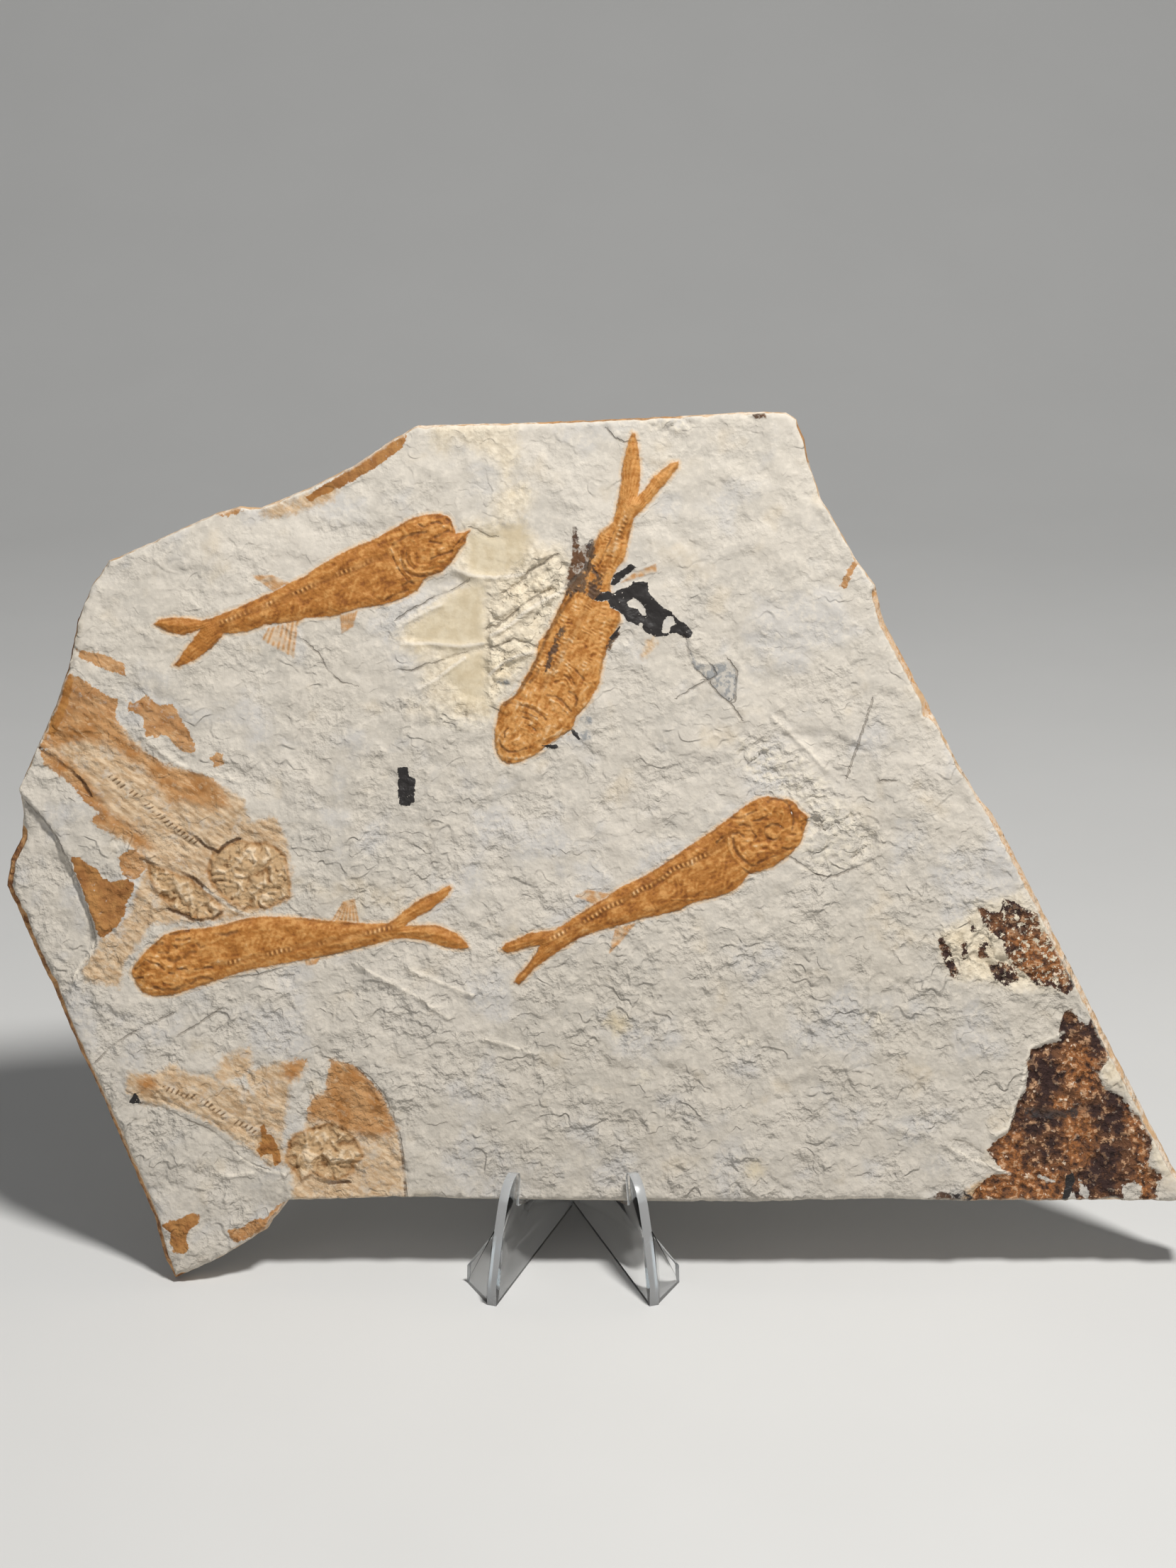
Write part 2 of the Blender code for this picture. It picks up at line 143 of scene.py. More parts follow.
def gap_to(u, v, line):
    """Distance from each place to an open line."""
    best = np.full(len(u), 1e9)
    for (u0, v0), (u1, v1) in zip(line, line[1:]):
        du, dv = u1 - u0, v1 - v0
        along = np.clip(((u - u0) * du + (v - v0) * dv) / (du * du + dv * dv), 0.0, 1.0)
        best = np.minimum(best, np.hypot(u - u0 - along * du, v - v0 - along * dv))
    return best


def held_in(u, v, outline):
    """Which places lie inside the outline."""
    inside = np.zeros(len(u), bool)
    for (u0, v0), (u1, v1) in zip(outline, outline[1:] + outline[:1]):
        if v0 != v1:
            crosses = (v0 > v) != (v1 > v)
            inside ^= crosses & (u < (u1 - u0) * (v - v0) / (v1 - v0) + u0)
    return inside


def near(u, v, points):
    """Numbers of the places within reach of the points' box."""
    (u0, v0), (u1, v1) = np.min(points, axis=0) - REACH, np.max(points, axis=0) + REACH
    return np.nonzero((u > u0) & (u < u1) & (v > v0) & (v < v1))[0]


def depth_in(u, v, outlines):
    """Distance inside the nearest of the outlines, and negative outside them."""
    depth = np.full(len(u), -REACH)
    for outline in outlines:
        some = near(u, v, outline)
        if len(some):
            distance = gap_to(u[some], v[some], outline + outline[:1]).clip(0.0, REACH)
            signed = np.where(held_in(u[some], v[some], outline), distance, -distance)
            depth[some] = np.maximum(depth[some], signed)
    return depth


def along_line(u, v, line):
    """How far along a line each place is, how far to its left, and the line's length."""
    best, along, across = np.full(len(u), 1e9), np.zeros(len(u)), np.zeros(len(u))
    run = 0.0
    for (u0, v0), (u1, v1) in zip(line, line[1:]):
        length = math.hypot(u1 - u0, v1 - v0)
        du, dv = (u1 - u0) / length, (v1 - v0) / length
        here = np.clip((u - u0) * du + (v - v0) * dv, 0.0, length)
        gap = np.hypot(u - u0 - here * du, v - v0 - here * dv)
        side = du * (v - v0) - dv * (u - u0)
        closer = gap < best
        best = np.where(closer, gap, best)
        along = np.where(closer, run + here, along)
        across = np.where(closer, np.where(side < 0.0, -gap, gap), across)
        run += length
    return along, across, run


def gap_to_lines(u, v, lines):
    """Distance to the nearest line, then the same with a sign for the line's side."""
    gap, side = np.full(len(u), REACH), np.full(len(u), REACH)
    for line in lines:
        some = near(u, v, line)
        if len(some):
            across = along_line(u[some], v[some], line)[1]
            closer = np.abs(across) < gap[some]
            gap[some] = np.where(closer, np.abs(across), gap[some])
            side[some] = np.where(closer, across, side[some])
    return gap, side


def put(kind, inputs=None, tree=None, **settings):
    """A node in the given tree, or else in the tree of its linked inputs.

    An input that is a socket is linked, and any other is set as a plain value.
    """
    inputs = inputs or {}
    linked = {name: value for name, value in inputs.items() if isinstance(value, bpy.types.NodeSocket)}
    tree = tree or next(iter(linked.values())).id_data
    made = tree.nodes.new("ShaderNode" + kind)
    for name, value in settings.items():
        setattr(made, name, value)
    for name, value in inputs.items():
        if name in linked:
            tree.links.new(value, made.inputs[name])
        else:
            made.inputs[name].default_value = value
    return made


def noise(where, size, detail=2.0, roughness=0.5, twist=0.0):
    """Noise from 0 to 1 with features of the given size in mm."""
    return put("TexNoise", {
        "Vector": where, "Scale": 1.0 / (size * MM), "Detail": detail, "Roughness": roughness,
        "Distortion": twist,
    }).outputs["Fac"]


def maths(operation, a, b=0.0, c=0.0):
    return put("Math", {0: a, 1: b, 2: c}, operation=operation).outputs[0]


def times(a, b):
    return maths("MULTIPLY", a, b)


def moved(value, ripple, amount):
    """A value moved up and down by noise, by half the amount each way at most."""
    return maths("MULTIPLY_ADD", maths("SUBTRACT", ripple, 0.5), amount, value)


def ramp(value, low, high, to_low=0.0, to_high=1.0):
    return put("MapRange", {
        "Value": value, "From Min": low, "From Max": high, "To Min": to_low, "To Max": to_high,
    }, interpolation_type="SMOOTHSTEP").outputs[0]


def paint(red, green, blue):
    """A colour from its screen values, 0 to 255."""
    return tuple(((c / 255 + 0.055) / 1.055) ** 2.4 for c in (red, green, blue)) + (1.0,)


def tint(share, under, over):
    """One colour laid over another by a share from 0 to 1."""
    return put("Mix", {0: share, 6: under, 7: over}, data_type="RGBA").outputs[2]


def two_tone(value, low, high, first, second):
    """From one colour to another as the value goes from low to high."""
    return tint(ramp(value, low, high), paint(*first), paint(*second))


def layered(colour, *layers):
    """A colour with tints over it: the value that places each, from, to, its most share, its colour."""
    for value, low, high, share, over in layers:
        colour = tint(ramp(value, low, high, 0.0, share), colour, paint(*over))
    return colour


def mark(where, name):
    """The value of a mark, read in the same tree as the places."""
    settings = {"attribute_name": name, "attribute_type": "GEOMETRY"}
    return put("Attribute", tree=where.id_data, **settings).outputs["Fac"]


def edge_of(where, grain, name, wander, blur):
    """Share inside a mark whose outline wanders and blurs by the given mm."""
    return ramp(moved(mark(where, name), grain.ragged, wander), -blur / 2, blur / 2)


def stone_colour(where, grain):
    """Warm grey with cooler, paler and darker patches, with painted shade darkening its foot and painted
    light brightening its top.
    """
    patches = noise(where, 15.0, 3.0, 0.6)
    up = put("SeparateXYZ", {0: where}).outputs["Z"]
    colour = two_tone(noise(where, 40.0), 0.3, 0.7, (199, 191, 178), (211, 203, 191))
    return layered(
        colour,
        (grain.middle, 0.35, 0.75, 0.6, (187, 181, 171)),
        (patches, 0.52, 0.66, 0.4, (192, 192, 194)),
        (patches, 0.42, 0.3, 0.45, (214, 198, 172)),
        (grain.fine, 0.45, 0.7, 0.65, (222, 213, 199)),
        (grain.fine, 0.42, 0.3, 0.2, (166, 157, 144)),
        (grain.speck, 0.66, 0.8, 0.45, (150, 139, 124)),
        # Painted shade darkens the face towards its foot and painted light brightens it towards its top, as
        # the lamp fades downwards.
        (up, 0.1, 0.0, 0.15, (142, 134, 122)),
        (up, 0.09, 0.17, 0.16, (236, 229, 217)),
    )


def shingles(where, size, spread, pitch, rise, low, high):
    """Patches of flakes whose lower ends drop in short curved scarps, as a height in metres."""
    up = put("SeparateXYZ", {0: where}).outputs["Z"]
    drift = times(noise(where, size, 1.6, 0.45, 0.3), spread)
    level = maths("FRACT", maths("MULTIPLY_ADD", up, 1.0 / (pitch * MM), drift))
    shape = times(maths("SUBTRACT", 1.0, level), ramp(level, 0.0, 0.22))
    patches = ramp(noise(where, 1.7 * size), low, high)
    return times(times(shape, patches), rise * MM)


def stone_relief(where, rough, cream):
    """Shingled flakes and small lumps, rougher low on the face and calm on the cream facets."""
    relief = maths("ADD", shingles(where, 5.0, 3.0, 7.0, 0.22, 0.48, 0.66),
                   shingles(where, 2.6, 2.4, 3.6, 0.1, 0.46, 0.68))
    lumps = maths("SUBTRACT", noise(where, 2.6, 3.4), 0.55)
    lumps = times(lumps, ramp(noise(where, 8.0, 3.0, 0.6), 0.4, 0.62, 0.45, 1.5))
    relief = maths("MULTIPLY_ADD", lumps, 0.8 * MM, relief)
    up = put("SeparateXYZ", {0: where}).outputs["Z"]
    rougher = maths("MULTIPLY_ADD", rough, 0.9, ramp(up, 0.17, 0.03, 0.7, 1.95))
    return times(times(relief, rougher), maths("SUBTRACT", 1.0, times(cream, 0.7)))


# ==== Flake scars, ledges and cracks ====
# Where the bedding pulled away it left smooth cream facets, sharp creases and hairline cracks, and a
# ledge of the next layer down at the left. The facets are tool marks or natural spalls, and nothing
# fills them.
LEDGE_STEP = 1.2
LEDGE = [
    (-120, 86), (-113.3, 84.2), (-109.7, 80.3), (-106.4, 75.7), (-103.6, 69.6), (-100.9, 63.5),
    (-98.5, 57.4), (-97.9, 54), (-98.5, 51.8), (-102.8, 45.7), (-105.5, 38.5), (-112, 36), (-122, 60),
]
CREAM = {
    "upper": [(-21.3, 137.1), (-15.7, 138.7), (-10.2, 140.1), (-9.3, 136.2), (-10.2, 131.6), (-13.4, 130),
        (-16.3, 129), (-20.5, 128.9), (-21.5, 132.3)],
    "middle": [(-20.9, 127.7), (-18.3, 127.3), (-17.9, 115.3), (-24.7, 114.5), (-31.7, 115.5), (-34, 118),
        (-29, 122.2)],
    "lower": [(-22.7, 112.1), (-18, 114), (-17.8, 104.7), (-21.4, 103.2), (-24.7, 106.9), (-27, 109.2)],
    "spot": [(36.2, 7.8), (38.2, 8.4), (39.2, 6.8), (37.6, 5.2), (36.2, 5.9)],
    "pit_a": [(6.4, 37.5), (8.1, 39.2), (10.7, 38.3), (11.6, 36.3), (9, 35.1)],
}
# Paler, warmer stone round the facets and the rust.
BUFF = {
    "facets": [(-23.6, 136.4), (-22, 139.8), (-15.7, 140.7), (-9.6, 139.3), (-6.4, 135.5), (-2.4, 134.9),
        (0, 131.2), (-1.2, 126.3), (-3.8, 121.3), (-6.4, 116.1), (-8.5, 112.1), (-11.9, 108.9),
        (-15.1, 103.9), (-16.6, 100.2), (-23.9, 100.5), (-28.5, 103.4), (-30.8, 107.4), (-32, 112.4),
        (-36.6, 116.1), (-34.3, 119.3), (-28.7, 123.1), (-22.9, 127.7), (-24.4, 130.9)],
    "upper": [(-17.1, 139.3), (-16, 144.5), (-13.4, 146.8), (-9.9, 147.9), (-8.1, 145.3), (-9.6, 142.2),
        (-13.4, 139.6)],
    "top": [(-29.2, 160.3), (-15.6, 160.9), (-11.9, 159.7), (-11.3, 154), (-13.3, 148.2), (-15.7, 152.5),
        (-24.3, 157.1), (-26.1, 154), (-28.4, 155.4)],
    "rust_side": [(75.2, 55.6), (80.3, 58.2), (82.6, 62), (91.9, 63.8), (96.3, 58.2), (100.7, 53.8),
        (102.5, 45.1), (92.1, 44.2), (85.6, 46), (78.9, 46), (76, 49.5)],
    "corner": [(108.2, 29.8), (114, 29.5), (121.5, 14.3), (123.7, 5.4), (120.1, 8.4), (115.6, 22.4),
        (109.7, 24.6)],
}
# Crack lines are darkened in colour: brown stain where the film browns them, and elsewhere painted shade in
# the crease. Along the shelf the dark line is the painted shadow of the ledge's wall.
CRACKS = {
    "shelf": [(-114, 84.6), (-111.4, 82), (-108.5, 79.1), (-105.9, 75.4), (-103.4, 70.1), (-101.5, 65.5),
        (-99.9, 61.4), (-98.9, 58.2), (-98.2, 55)],
    "film_a": [(-109.4, 93.9), (-106.2, 91.5), (-102.8, 89.1), (-100.6, 87.2), (-98.9, 84.3)],
    "jaw": [(-88.5, 70.9), (-84.9, 69.6), (-81.2, 68.5), (-78.2, 67.3), (-76, 65.5), (-74, 63.8),
        (-71.7, 61.6), (-69.4, 61)],
    "brow": [(-77.4, 75.4), (-75.3, 73.6), (-72.8, 72.5), (-70.9, 74.3), (-68.7, 75.2)],
    "chin": [(-83, 60.7), (-80.4, 59.7), (-77.5, 58.4), (-74, 58.8), (-72.3, 60.1)],
    "lower_left": [(-98.1, 29.3), (-94.9, 32.5), (-90.9, 35.1), (-87.9, 36.7), (-82.3, 39.2)],
    "lower_left_b": [(-81.2, 34.7), (-76.8, 37.3), (-72.7, 40.1)],
    "under_fish": [(-74, 46.2), (-69.7, 46.7), (-64.3, 47.3), (-60.2, 48.6)],
    "spine_edge": [(-88.8, 20.6), (-84.2, 19.6), (-79.8, 17.2), (-75.4, 15.4), (-72.5, 13.2), (-70.2, 11),
        (-66.7, 8.2), (-62.9, 6.9)],
    "skull_rim": [(-56.8, 3.7), (-54.3, 5.4), (-50.7, 4.1), (-46.3, 4.3)],
    "quarter_rim": [(-44.3, 27.9), (-41.5, 25.6), (-39, 22.4), (-37.3, 18.5), (-36, 14.6), (-35.1, 9.9),
        (-34.7, 5.4), (-34.3, 0.7)],
    "mouth_right": [(44.7, 71.4), (47.1, 69.8), (49.1, 68.3), (52, 67.3), (54.4, 67.7), (57.6, 69.2),
        (60.8, 70.3), (62.8, 71.5)],
    "black_line": [(22.9, 116.6), (23.4, 114.4), (23.7, 112.1), (25, 110.2), (27.5, 107.6), (29.6, 105.1),
        (31.9, 103.2), (33.3, 101.6), (34.5, 99.9)],
    "black_cross": [(21.4, 104.2), (24.2, 106), (27.4, 107.7)],
    "tail_arc": [(7, 159), (8.6, 157.1), (10.4, 156.3), (13, 156.6)],
    "crease_a": [(-17.4, 118.4), (-16.6, 118.9), (-15.7, 118.6), (-14.8, 119.5), (-14, 119.9),
        (-12.5, 121.1), (-10.6, 122.9), (-8.5, 124.4), (-6.7, 125.4), (-4.1, 126.3)],
    "crease_b": [(-14.2, 125.7), (-12.5, 126.7), (-11.1, 127.3), (-9.8, 128.6), (-9, 130), (-7.7, 130.9),
        (-6.1, 131.5), (-5, 132.5), (-3.4, 133.5)],
    "crease_c": [(-17.2, 114.4), (-15.4, 114.7), (-13.4, 115.7), (-12.2, 116.3), (-10.8, 115.7),
        (-9, 115.4), (-7.3, 114.4)],
    "crease_d": [(-16.9, 121.6), (-16, 120.3), (-14.8, 120), (-14.1, 119.6)],
    "crease_e": [(-9.9, 127.3), (-9.2, 126.7), (-9.6, 125.8), (-7.7, 126), (-7, 124.8)],
    "crease_f": [(-20.9, 139), (-19.2, 138.3), (-17.1, 137), (-15.7, 137.1)],
    "crease_g": [(-28.5, 111.2), (-26.4, 111.9), (-24.4, 112.7), (-22.1, 113.4)],
    "crease_h": [(-18, 110), (-16.9, 108.7), (-16, 107.3), (-13.4, 106.9)],
    "crease_i": [(-36, 120.2), (-33.1, 122.2), (-30.5, 123.4), (-28.4, 124.8), (-25.3, 125.7),
        (-22.9, 127.1), (-21.5, 128.3)],
    "crease_j": [(-35.2, 109.9), (-33.1, 109.6), (-31.1, 110.5), (-29.3, 111.2)],
    "crease_k": [(-17.5, 104.2), (-17.2, 102.5), (-15.4, 101.6)],
    "rough_a": [(-54.9, 115.7), (-52, 113.2), (-50.2, 109.8), (-47.6, 107.4), (-44.5, 106.6)],
    "right_line": [(61.3, 103.7), (58.8, 95.8), (56.2, 88)],
    "right_pit": [(63.3, 87.2), (65.9, 87.2)],
    "lip": [(78.8, 13.1), (81.2, 12.5), (84.1, 10.5)],
    "rust_foot": [(85.3, 49.6), (87.1, 47.9), (88.3, 46.7), (90.9, 45.7)],
    "grey_a": [(23.7, 113.8), (26.1, 112.7), (28.4, 110.8), (29.3, 108.9), (27.8, 107.4)],
    "grey_b": [(31.9, 111.9), (33.6, 109.5), (33.3, 106.3), (33, 103.7)],
}
# Raised crests, each given a painted highlight of pale colour along its top as well as its rise.
RIDGES = {
    "fold_a": [(-44.9, 49.5), (-38.4, 46.2), (-32.9, 43.3), (-25.6, 38.3)],
    "fold_b": [(-34, 48.6), (-27.5, 45.7), (-20.6, 43)],
    "fold_c": [(-18.3, 33.9), (-13.5, 32.8), (-8.5, 31)],
    "band": [(-87.8, 96.1), (-85.2, 93.8), (-81.4, 90.9), (-77.3, 89.1), (-73.3, 88.3), (-69.5, 87.4)],
    "jaw": [(-75.7, 65.1), (-72.8, 63.1), (-69.6, 60.7), (-66.7, 59.7)],
    "shelf_foot": [(-98.2, 54.4), (-99.1, 51.5), (-101.5, 49.2), (-103.1, 45.7)],
    "spine_lip": [(-69.9, 10.6), (-66.7, 7.9), (-62.6, 6.6), (-59.4, 6)],
    "fold": [(-74.9, 5.9), (-69.9, 5.6), (-66.1, 6.3)],
    "right": [(40.9, 100.2), (45.3, 96.1), (48.9, 92.9), (52, 89.4)],
    "lip": [(77.4, 11.8), (81.8, 9.3), (86.2, 7.5), (90, 6)],
    "rust_edge": [(100.9, 35.3), (97.7, 33.9), (94.2, 32.5), (93.2, 29.3), (92.8, 26), (91.8, 22.4),
        (90.8, 19), (89.5, 15.7), (86.7, 14)],
    "cream_low": [(-24.4, 130.5), (-20.9, 129.2), (-15.7, 128.7), (-9.9, 129.4)],
    "cream_mid": [(-36, 118.7), (-30.2, 121.9), (-27, 123.2)],
    "crease": [(-17.2, 116.9), (-15.1, 117.7), (-12.5, 119.3), (-9.9, 121.6), (-6.7, 123.7), (-2.7, 125.7),
        (-1.2, 127.1)],
    "crease_low": [(-17.2, 108.9), (-14.3, 111.2), (-11.4, 112.8), (-6.7, 113.8)],
    "band_low": [(-35.1, 115.3), (-28.8, 115.3), (-23, 114.7), (-18.3, 115.3)],
    "slant": [(-31.7, 106), (-27.9, 108), (-24.7, 110.6), (-22.1, 112.4)],
}
# Crumbled patches, where many thin layers end.
ROUGH = {
    "pit_a": [(6.4, 37.8), (8.4, 39.5), (11, 38.6), (12.2, 36.6), (10.4, 34.5), (7.5, 35.1)],
    "pit_b": [(12.2, 27.8), (14.5, 27.8), (16.3, 26.3), (15.4, 24.6), (13.1, 24.8)],
    "pit_c": [(33.2, 34.2), (36.4, 34.5), (37.6, 32.8), (34.4, 31.6)],
    "pit_d": [(59.4, 39.8), (62.9, 41.3), (66.1, 38.9), (62.9, 36.9), (60, 37.5)],
    "below_facets": [(-36, 103.4), (-30.2, 104.2), (-24.4, 101.9), (-17.2, 101), (-15.7, 98.7), (-23, 97.6),
        (-30.2, 99.3)],
    "creases": [(-15.7, 129.2), (-11.3, 130.9), (-8.2, 133.5), (-2.6, 134.4), (-0.3, 130.9), (-1.2, 126.8),
        (-4.1, 121.3), (-7, 115.8), (-9, 112.1), (-14, 107.7), (-16.3, 101.3), (-17.8, 107.7),
        (-17.4, 116.4), (-17.1, 125.1)],
    "rust_side": [(75.7, 56.5), (81.8, 58.8), (86.2, 56.8), (92, 53.8), (100.8, 45.1), (100.8, 43),
        (92.1, 44.2), (85.6, 46), (78.9, 46), (76.3, 50.9)],
    "by_the_snout": [(33.1, 96.1), (39.4, 95.2), (45.3, 93.2), (51.1, 88.8), (54, 84.5), (59.8, 80.1),
        (64.2, 74.3), (57, 69.6), (51.2, 67.9), (46.8, 69.9), (46.5, 78.7), (43.8, 84.5), (38, 86.8),
        (33.7, 90.3)],
    "top": [(15, 161.8), (23.4, 162), (24.8, 159.7), (20.5, 158), (16.2, 158.9)],
}
# Bigger low forms: rise in mm, width of the slope in mm, outline.
FORMS = {
    "right_hollow": (-0.5, 1.2, [(33.6, 93.2), (40.9, 96.8), (52.5, 97.6), (60.5, 93.2), (64.2, 83),
        (60.6, 72.8), (54.1, 67), (48.2, 70.6), (42.4, 85.9), (36.6, 88.1)]),
    "chip": (-0.2, 1.6, [(-17, 140.7), (-14.9, 146), (-9.9, 147.3), (-8.6, 143.9), (-10.6, 139.6)]),
    "middle_hollow": (-0.35, 1.4, [(-33.5, 128), (-24.4, 129.2), (-17.4, 126.5), (-17.2, 115.7),
        (-17.8, 104.1), (-24.4, 105.5), (-28.5, 113.5), (-33.1, 116.4)]),
    "low_fold": (0.5, 1.1, [(-19.4, 113), (-14.2, 116.6), (-8.6, 119.6), (-3.6, 121.6), (-5.6, 117),
        (-9.4, 112), (-14, 111.6), (-17.6, 111)]),
    "high_fold": (0.35, 1, [(-18.6, 115.6), (-17, 121.6), (-12, 125.6), (-5.6, 128.8), (-4.6, 123.4),
        (-11.6, 119.4)]),
    "left_step": (-0.45, 0.7, [(-88, 22.4), (-83.5, 21.6), (-79, 19.2), (-74, 17), (-71, 14.8),
        (-68.5, 12.6), (-65, 9.6), (-60, 6.6), (-59, 0), (-82.4, -18), (-100, 20)]),
}


def broken(u, v, size, seed):
    """Broken, tilted plates of the given size, as a level from about -1 to 1."""
    dice = np.random.default_rng(seed).uniform(-0.5, 0.5, (NOISE_CELLS, NOISE_CELLS, 5))
    x, y = u / size + FIRST_CELL, v / size + FIRST_CELL
    column, row = np.floor(x).astype(int), np.floor(y).astype(int)
    best, level = np.full(len(u), 9.0), np.zeros(len(u))
    for across in (-1, 0, 1):
        for up in (-1, 0, 1):
            throw = dice[(column + across) % NOISE_CELLS, (row + up) % NOISE_CELLS]
            x_off, y_off = x - column - across - 0.5 - throw[:, 0], y - row - up - 0.5 - throw[:, 1]
            gap = np.hypot(x_off, y_off)
            closer = gap < best
            tilted = throw[:, 4] + 2.6 * (throw[:, 2] * x_off + throw[:, 3] * y_off)
            level, best = np.where(closer, tilted, level), np.where(closer, gap, best)
    return level


def scars(u, v, height, marks):
    for rise, slope, outline in FORMS.values():
        height = height + rise * smooth(depth_in(u, v, [outline]) / slope + 0.5)
    height -= LEDGE_STEP * smooth(depth_in(u, v, [LEDGE]) / 0.45 + 0.5)
    marks["cream"] = depth_in(u, v, CREAM.values())
    facet = smooth(marks["cream"] / 2.4 + 0.5)
    height += 0.75 * facet * (0.3 * swell(u, v, 30.0, 1) - 0.08 - height)
    marks["buff"] = depth_in(u, v, BUFF.values())
    marks["rough"] = depth_in(u, v, ROUGH.values())
    slant_u = (0.83 * u + 0.56 * v) / 2.0 + 0.5 * swell(u, v, 3.0, 21)
    slant_v = 0.83 * v - 0.56 * u + 0.6 * swell(u, v, 3.0, 22)
    crumbs = 0.6 * broken(slant_u, slant_v, 2.7, 23) + 0.25 * swell(u, v, 1.1, 24)
    crumbled = smooth(marks["rough"] / 2.0 + 0.4) * (1.0 - facet)
    height += 0.8 * crumbled * crumbs
    marks["crack"], marks["crack_side"] = gap_to_lines(u, v, CRACKS.values())
    height -= (0.15 + 0.3 * crumbled) * smooth(1.0 - marks["crack"])
    # One side of a crack stands a little higher than the other.
    raised = smooth(marks["crack_side"].clip(-1.0, 1.0) * 0.8 + 0.5)
    height += 0.16 * raised * smooth(1.6 - marks["crack"] / 1.6)
    marks["ridge"] = gap_to_lines(u, v, RIDGES.values())[0]
    height += 0.4 * smooth(1.0 - marks["ridge"] / 1.1)
    return height


def scar_colour(where, grain, colour):
    """The face with its crumbled, buff and cream parts, and the share of each."""
    rough = edge_of(where, grain, "rough", 3.0, 3.0)
    dusty = times(rough, ramp(grain.fine, 0.4, 0.65, 0.0, 0.5))
    colour = tint(dusty, colour, paint(224, 214, 194))
    buff = times(edge_of(where, grain, "buff", 4.0, 4.0), ramp(grain.middle, 0.3, 0.6, 0.95, 0.6))
    buff_tone = two_tone(grain.fine, 0.35, 0.65, (210, 194, 166), (236, 222, 196))
    colour = tint(buff, colour, buff_tone)
    cream = edge_of(where, grain, "cream", 3.4, 3.4)
    patches = noise(where, 3.0, 4.0, 0.65)
    cream_tone = two_tone(patches, 0.35, 0.65, (202, 185, 153), (217, 203, 175))
    return tint(times(cream, 0.85), colour, cream_tone), rough, buff, cream


def crack_colour(where, grain, colour, browned, rough, buff):
    """The face with its cracks darkened, partly by brown stain and partly as painted shade in the creases,
    with painted highlights on the crests of its folds, and the share of the cracks.
    """
    side = maths("ABSOLUTE", moved(mark(where, "crack_side"), grain.ragged, 0.9))
    slit = times(side, ramp(browned, 0.0, 1.0, 1.0, 0.6))
    crack = ramp(slit, 0.06, 0.32, 1.0, 0.0)
    crack = times(crack, ramp(mark(where, "crack"), 0.5, 0.75, 1.0, 0.0))
    crack = times(crack, ramp(grain.middle, 0.38, 0.52, 0.2, 1.0))
    crack = times(crack, ramp(buff, 0.0, 1.0, 1.0, 0.45))
    # Painted shade in the cracks, grey brown on bare stone and darker brown where the film stains them.
    crack_shade_and_stain = tint(browned, paint(108, 94, 78), paint(78, 50, 28))
    seen = ramp(maths("MAXIMUM", browned, rough), 0.0, 1.0, 0.42, 0.9)
    colour = tint(times(crack, seen), colour, crack_shade_and_stain)
    # Painted highlight along the crests of the folds and the rims of the ledges.
    ridge = maths("MULTIPLY_ADD", grain.ragged, 0.5, mark(where, "ridge"))
    return layered(colour, (ridge, 0.8, 0.3, 0.65, (238, 228, 212))), crack


# ==== Rust crust ====
# Iron minerals grew along the right edge and at the lower right corner, a dark brown crumbly crust with
# paler stone showing through, and ochre where it is thin.
RUST = {
    "hook": [(74.8, 54.7), (76, 55), (77.4, 52.7), (78.3, 50.2), (79.2, 48), (78.5, 46.5), (77.5, 47.1),
        (76.6, 49.2), (75.7, 51.8)],
    "crest": [(82.9, 61.7), (85.3, 60.6), (87.3, 60), (88.4, 62.9), (90.5, 62.6), (92.8, 60.9),
        (95.5, 59.7), (95.8, 57.4), (93.4, 56.5), (92, 54.1), (89.1, 53.6), (86.5, 55.3), (84.4, 57.6)],
    "crumbs": [(88.2, 53.6), (91.4, 54.4), (93.7, 56.8), (96.1, 56.8), (98.7, 54.7), (100.2, 51.8),
        (101.4, 48.6), (103.7, 45.1), (101.4, 43.3), (98.2, 44.8), (95.3, 45.1), (93.2, 47.4), (90.6, 48.9),
        (89.1, 51.2)],
    "fleck_a": [(83.1, 51.8), (83.7, 53.3), (85.1, 54), (85.9, 53), (84.4, 52.1), (85.6, 50.9),
        (83.3, 50.6)],
    "fleck_b": [(79.8, 53.6), (80.9, 54.1), (81.2, 50.6), (79.9, 50.3)],
    "fleck_c": [(81.3, 58.8), (82.1, 57.8), (83, 56.2), (81.8, 55.9)],
    "corner": [(100.8, 39.2), (102.6, 40), (103.8, 37.8), (106, 36.9), (107.4, 39.1), (108.6, 38.3),
        (110.1, 35.4), (111.2, 32.5), (110.5, 30.3), (109.1, 28.1), (107.9, 26.9), (109.7, 23.7),
        (113.1, 21.8), (115.6, 18.4), (117.5, 17.4), (119.4, 15.4), (119.6, 13.4), (118.6, 7.5), (121.7, 6),
        (120.4, 3.1), (119.8, -0.7), (81.2, -0.7), (83.5, 3.5), (86.5, 5.7), (89.5, 6.2), (86.4, 9.1),
        (85.7, 11), (87.6, 13.1), (89.6, 14.3), (91.2, 20.2), (93.2, 23.1), (93.6, 26), (93.3, 29),
        (94.3, 31.6), (97.2, 32.6), (100.6, 33.6), (100, 35.6)],
    "spill": [(85.5, 49.2), (87.9, 50), (90.9, 48.6), (91.8, 46.2), (89.1, 44.8), (86.8, 46.2)],
}
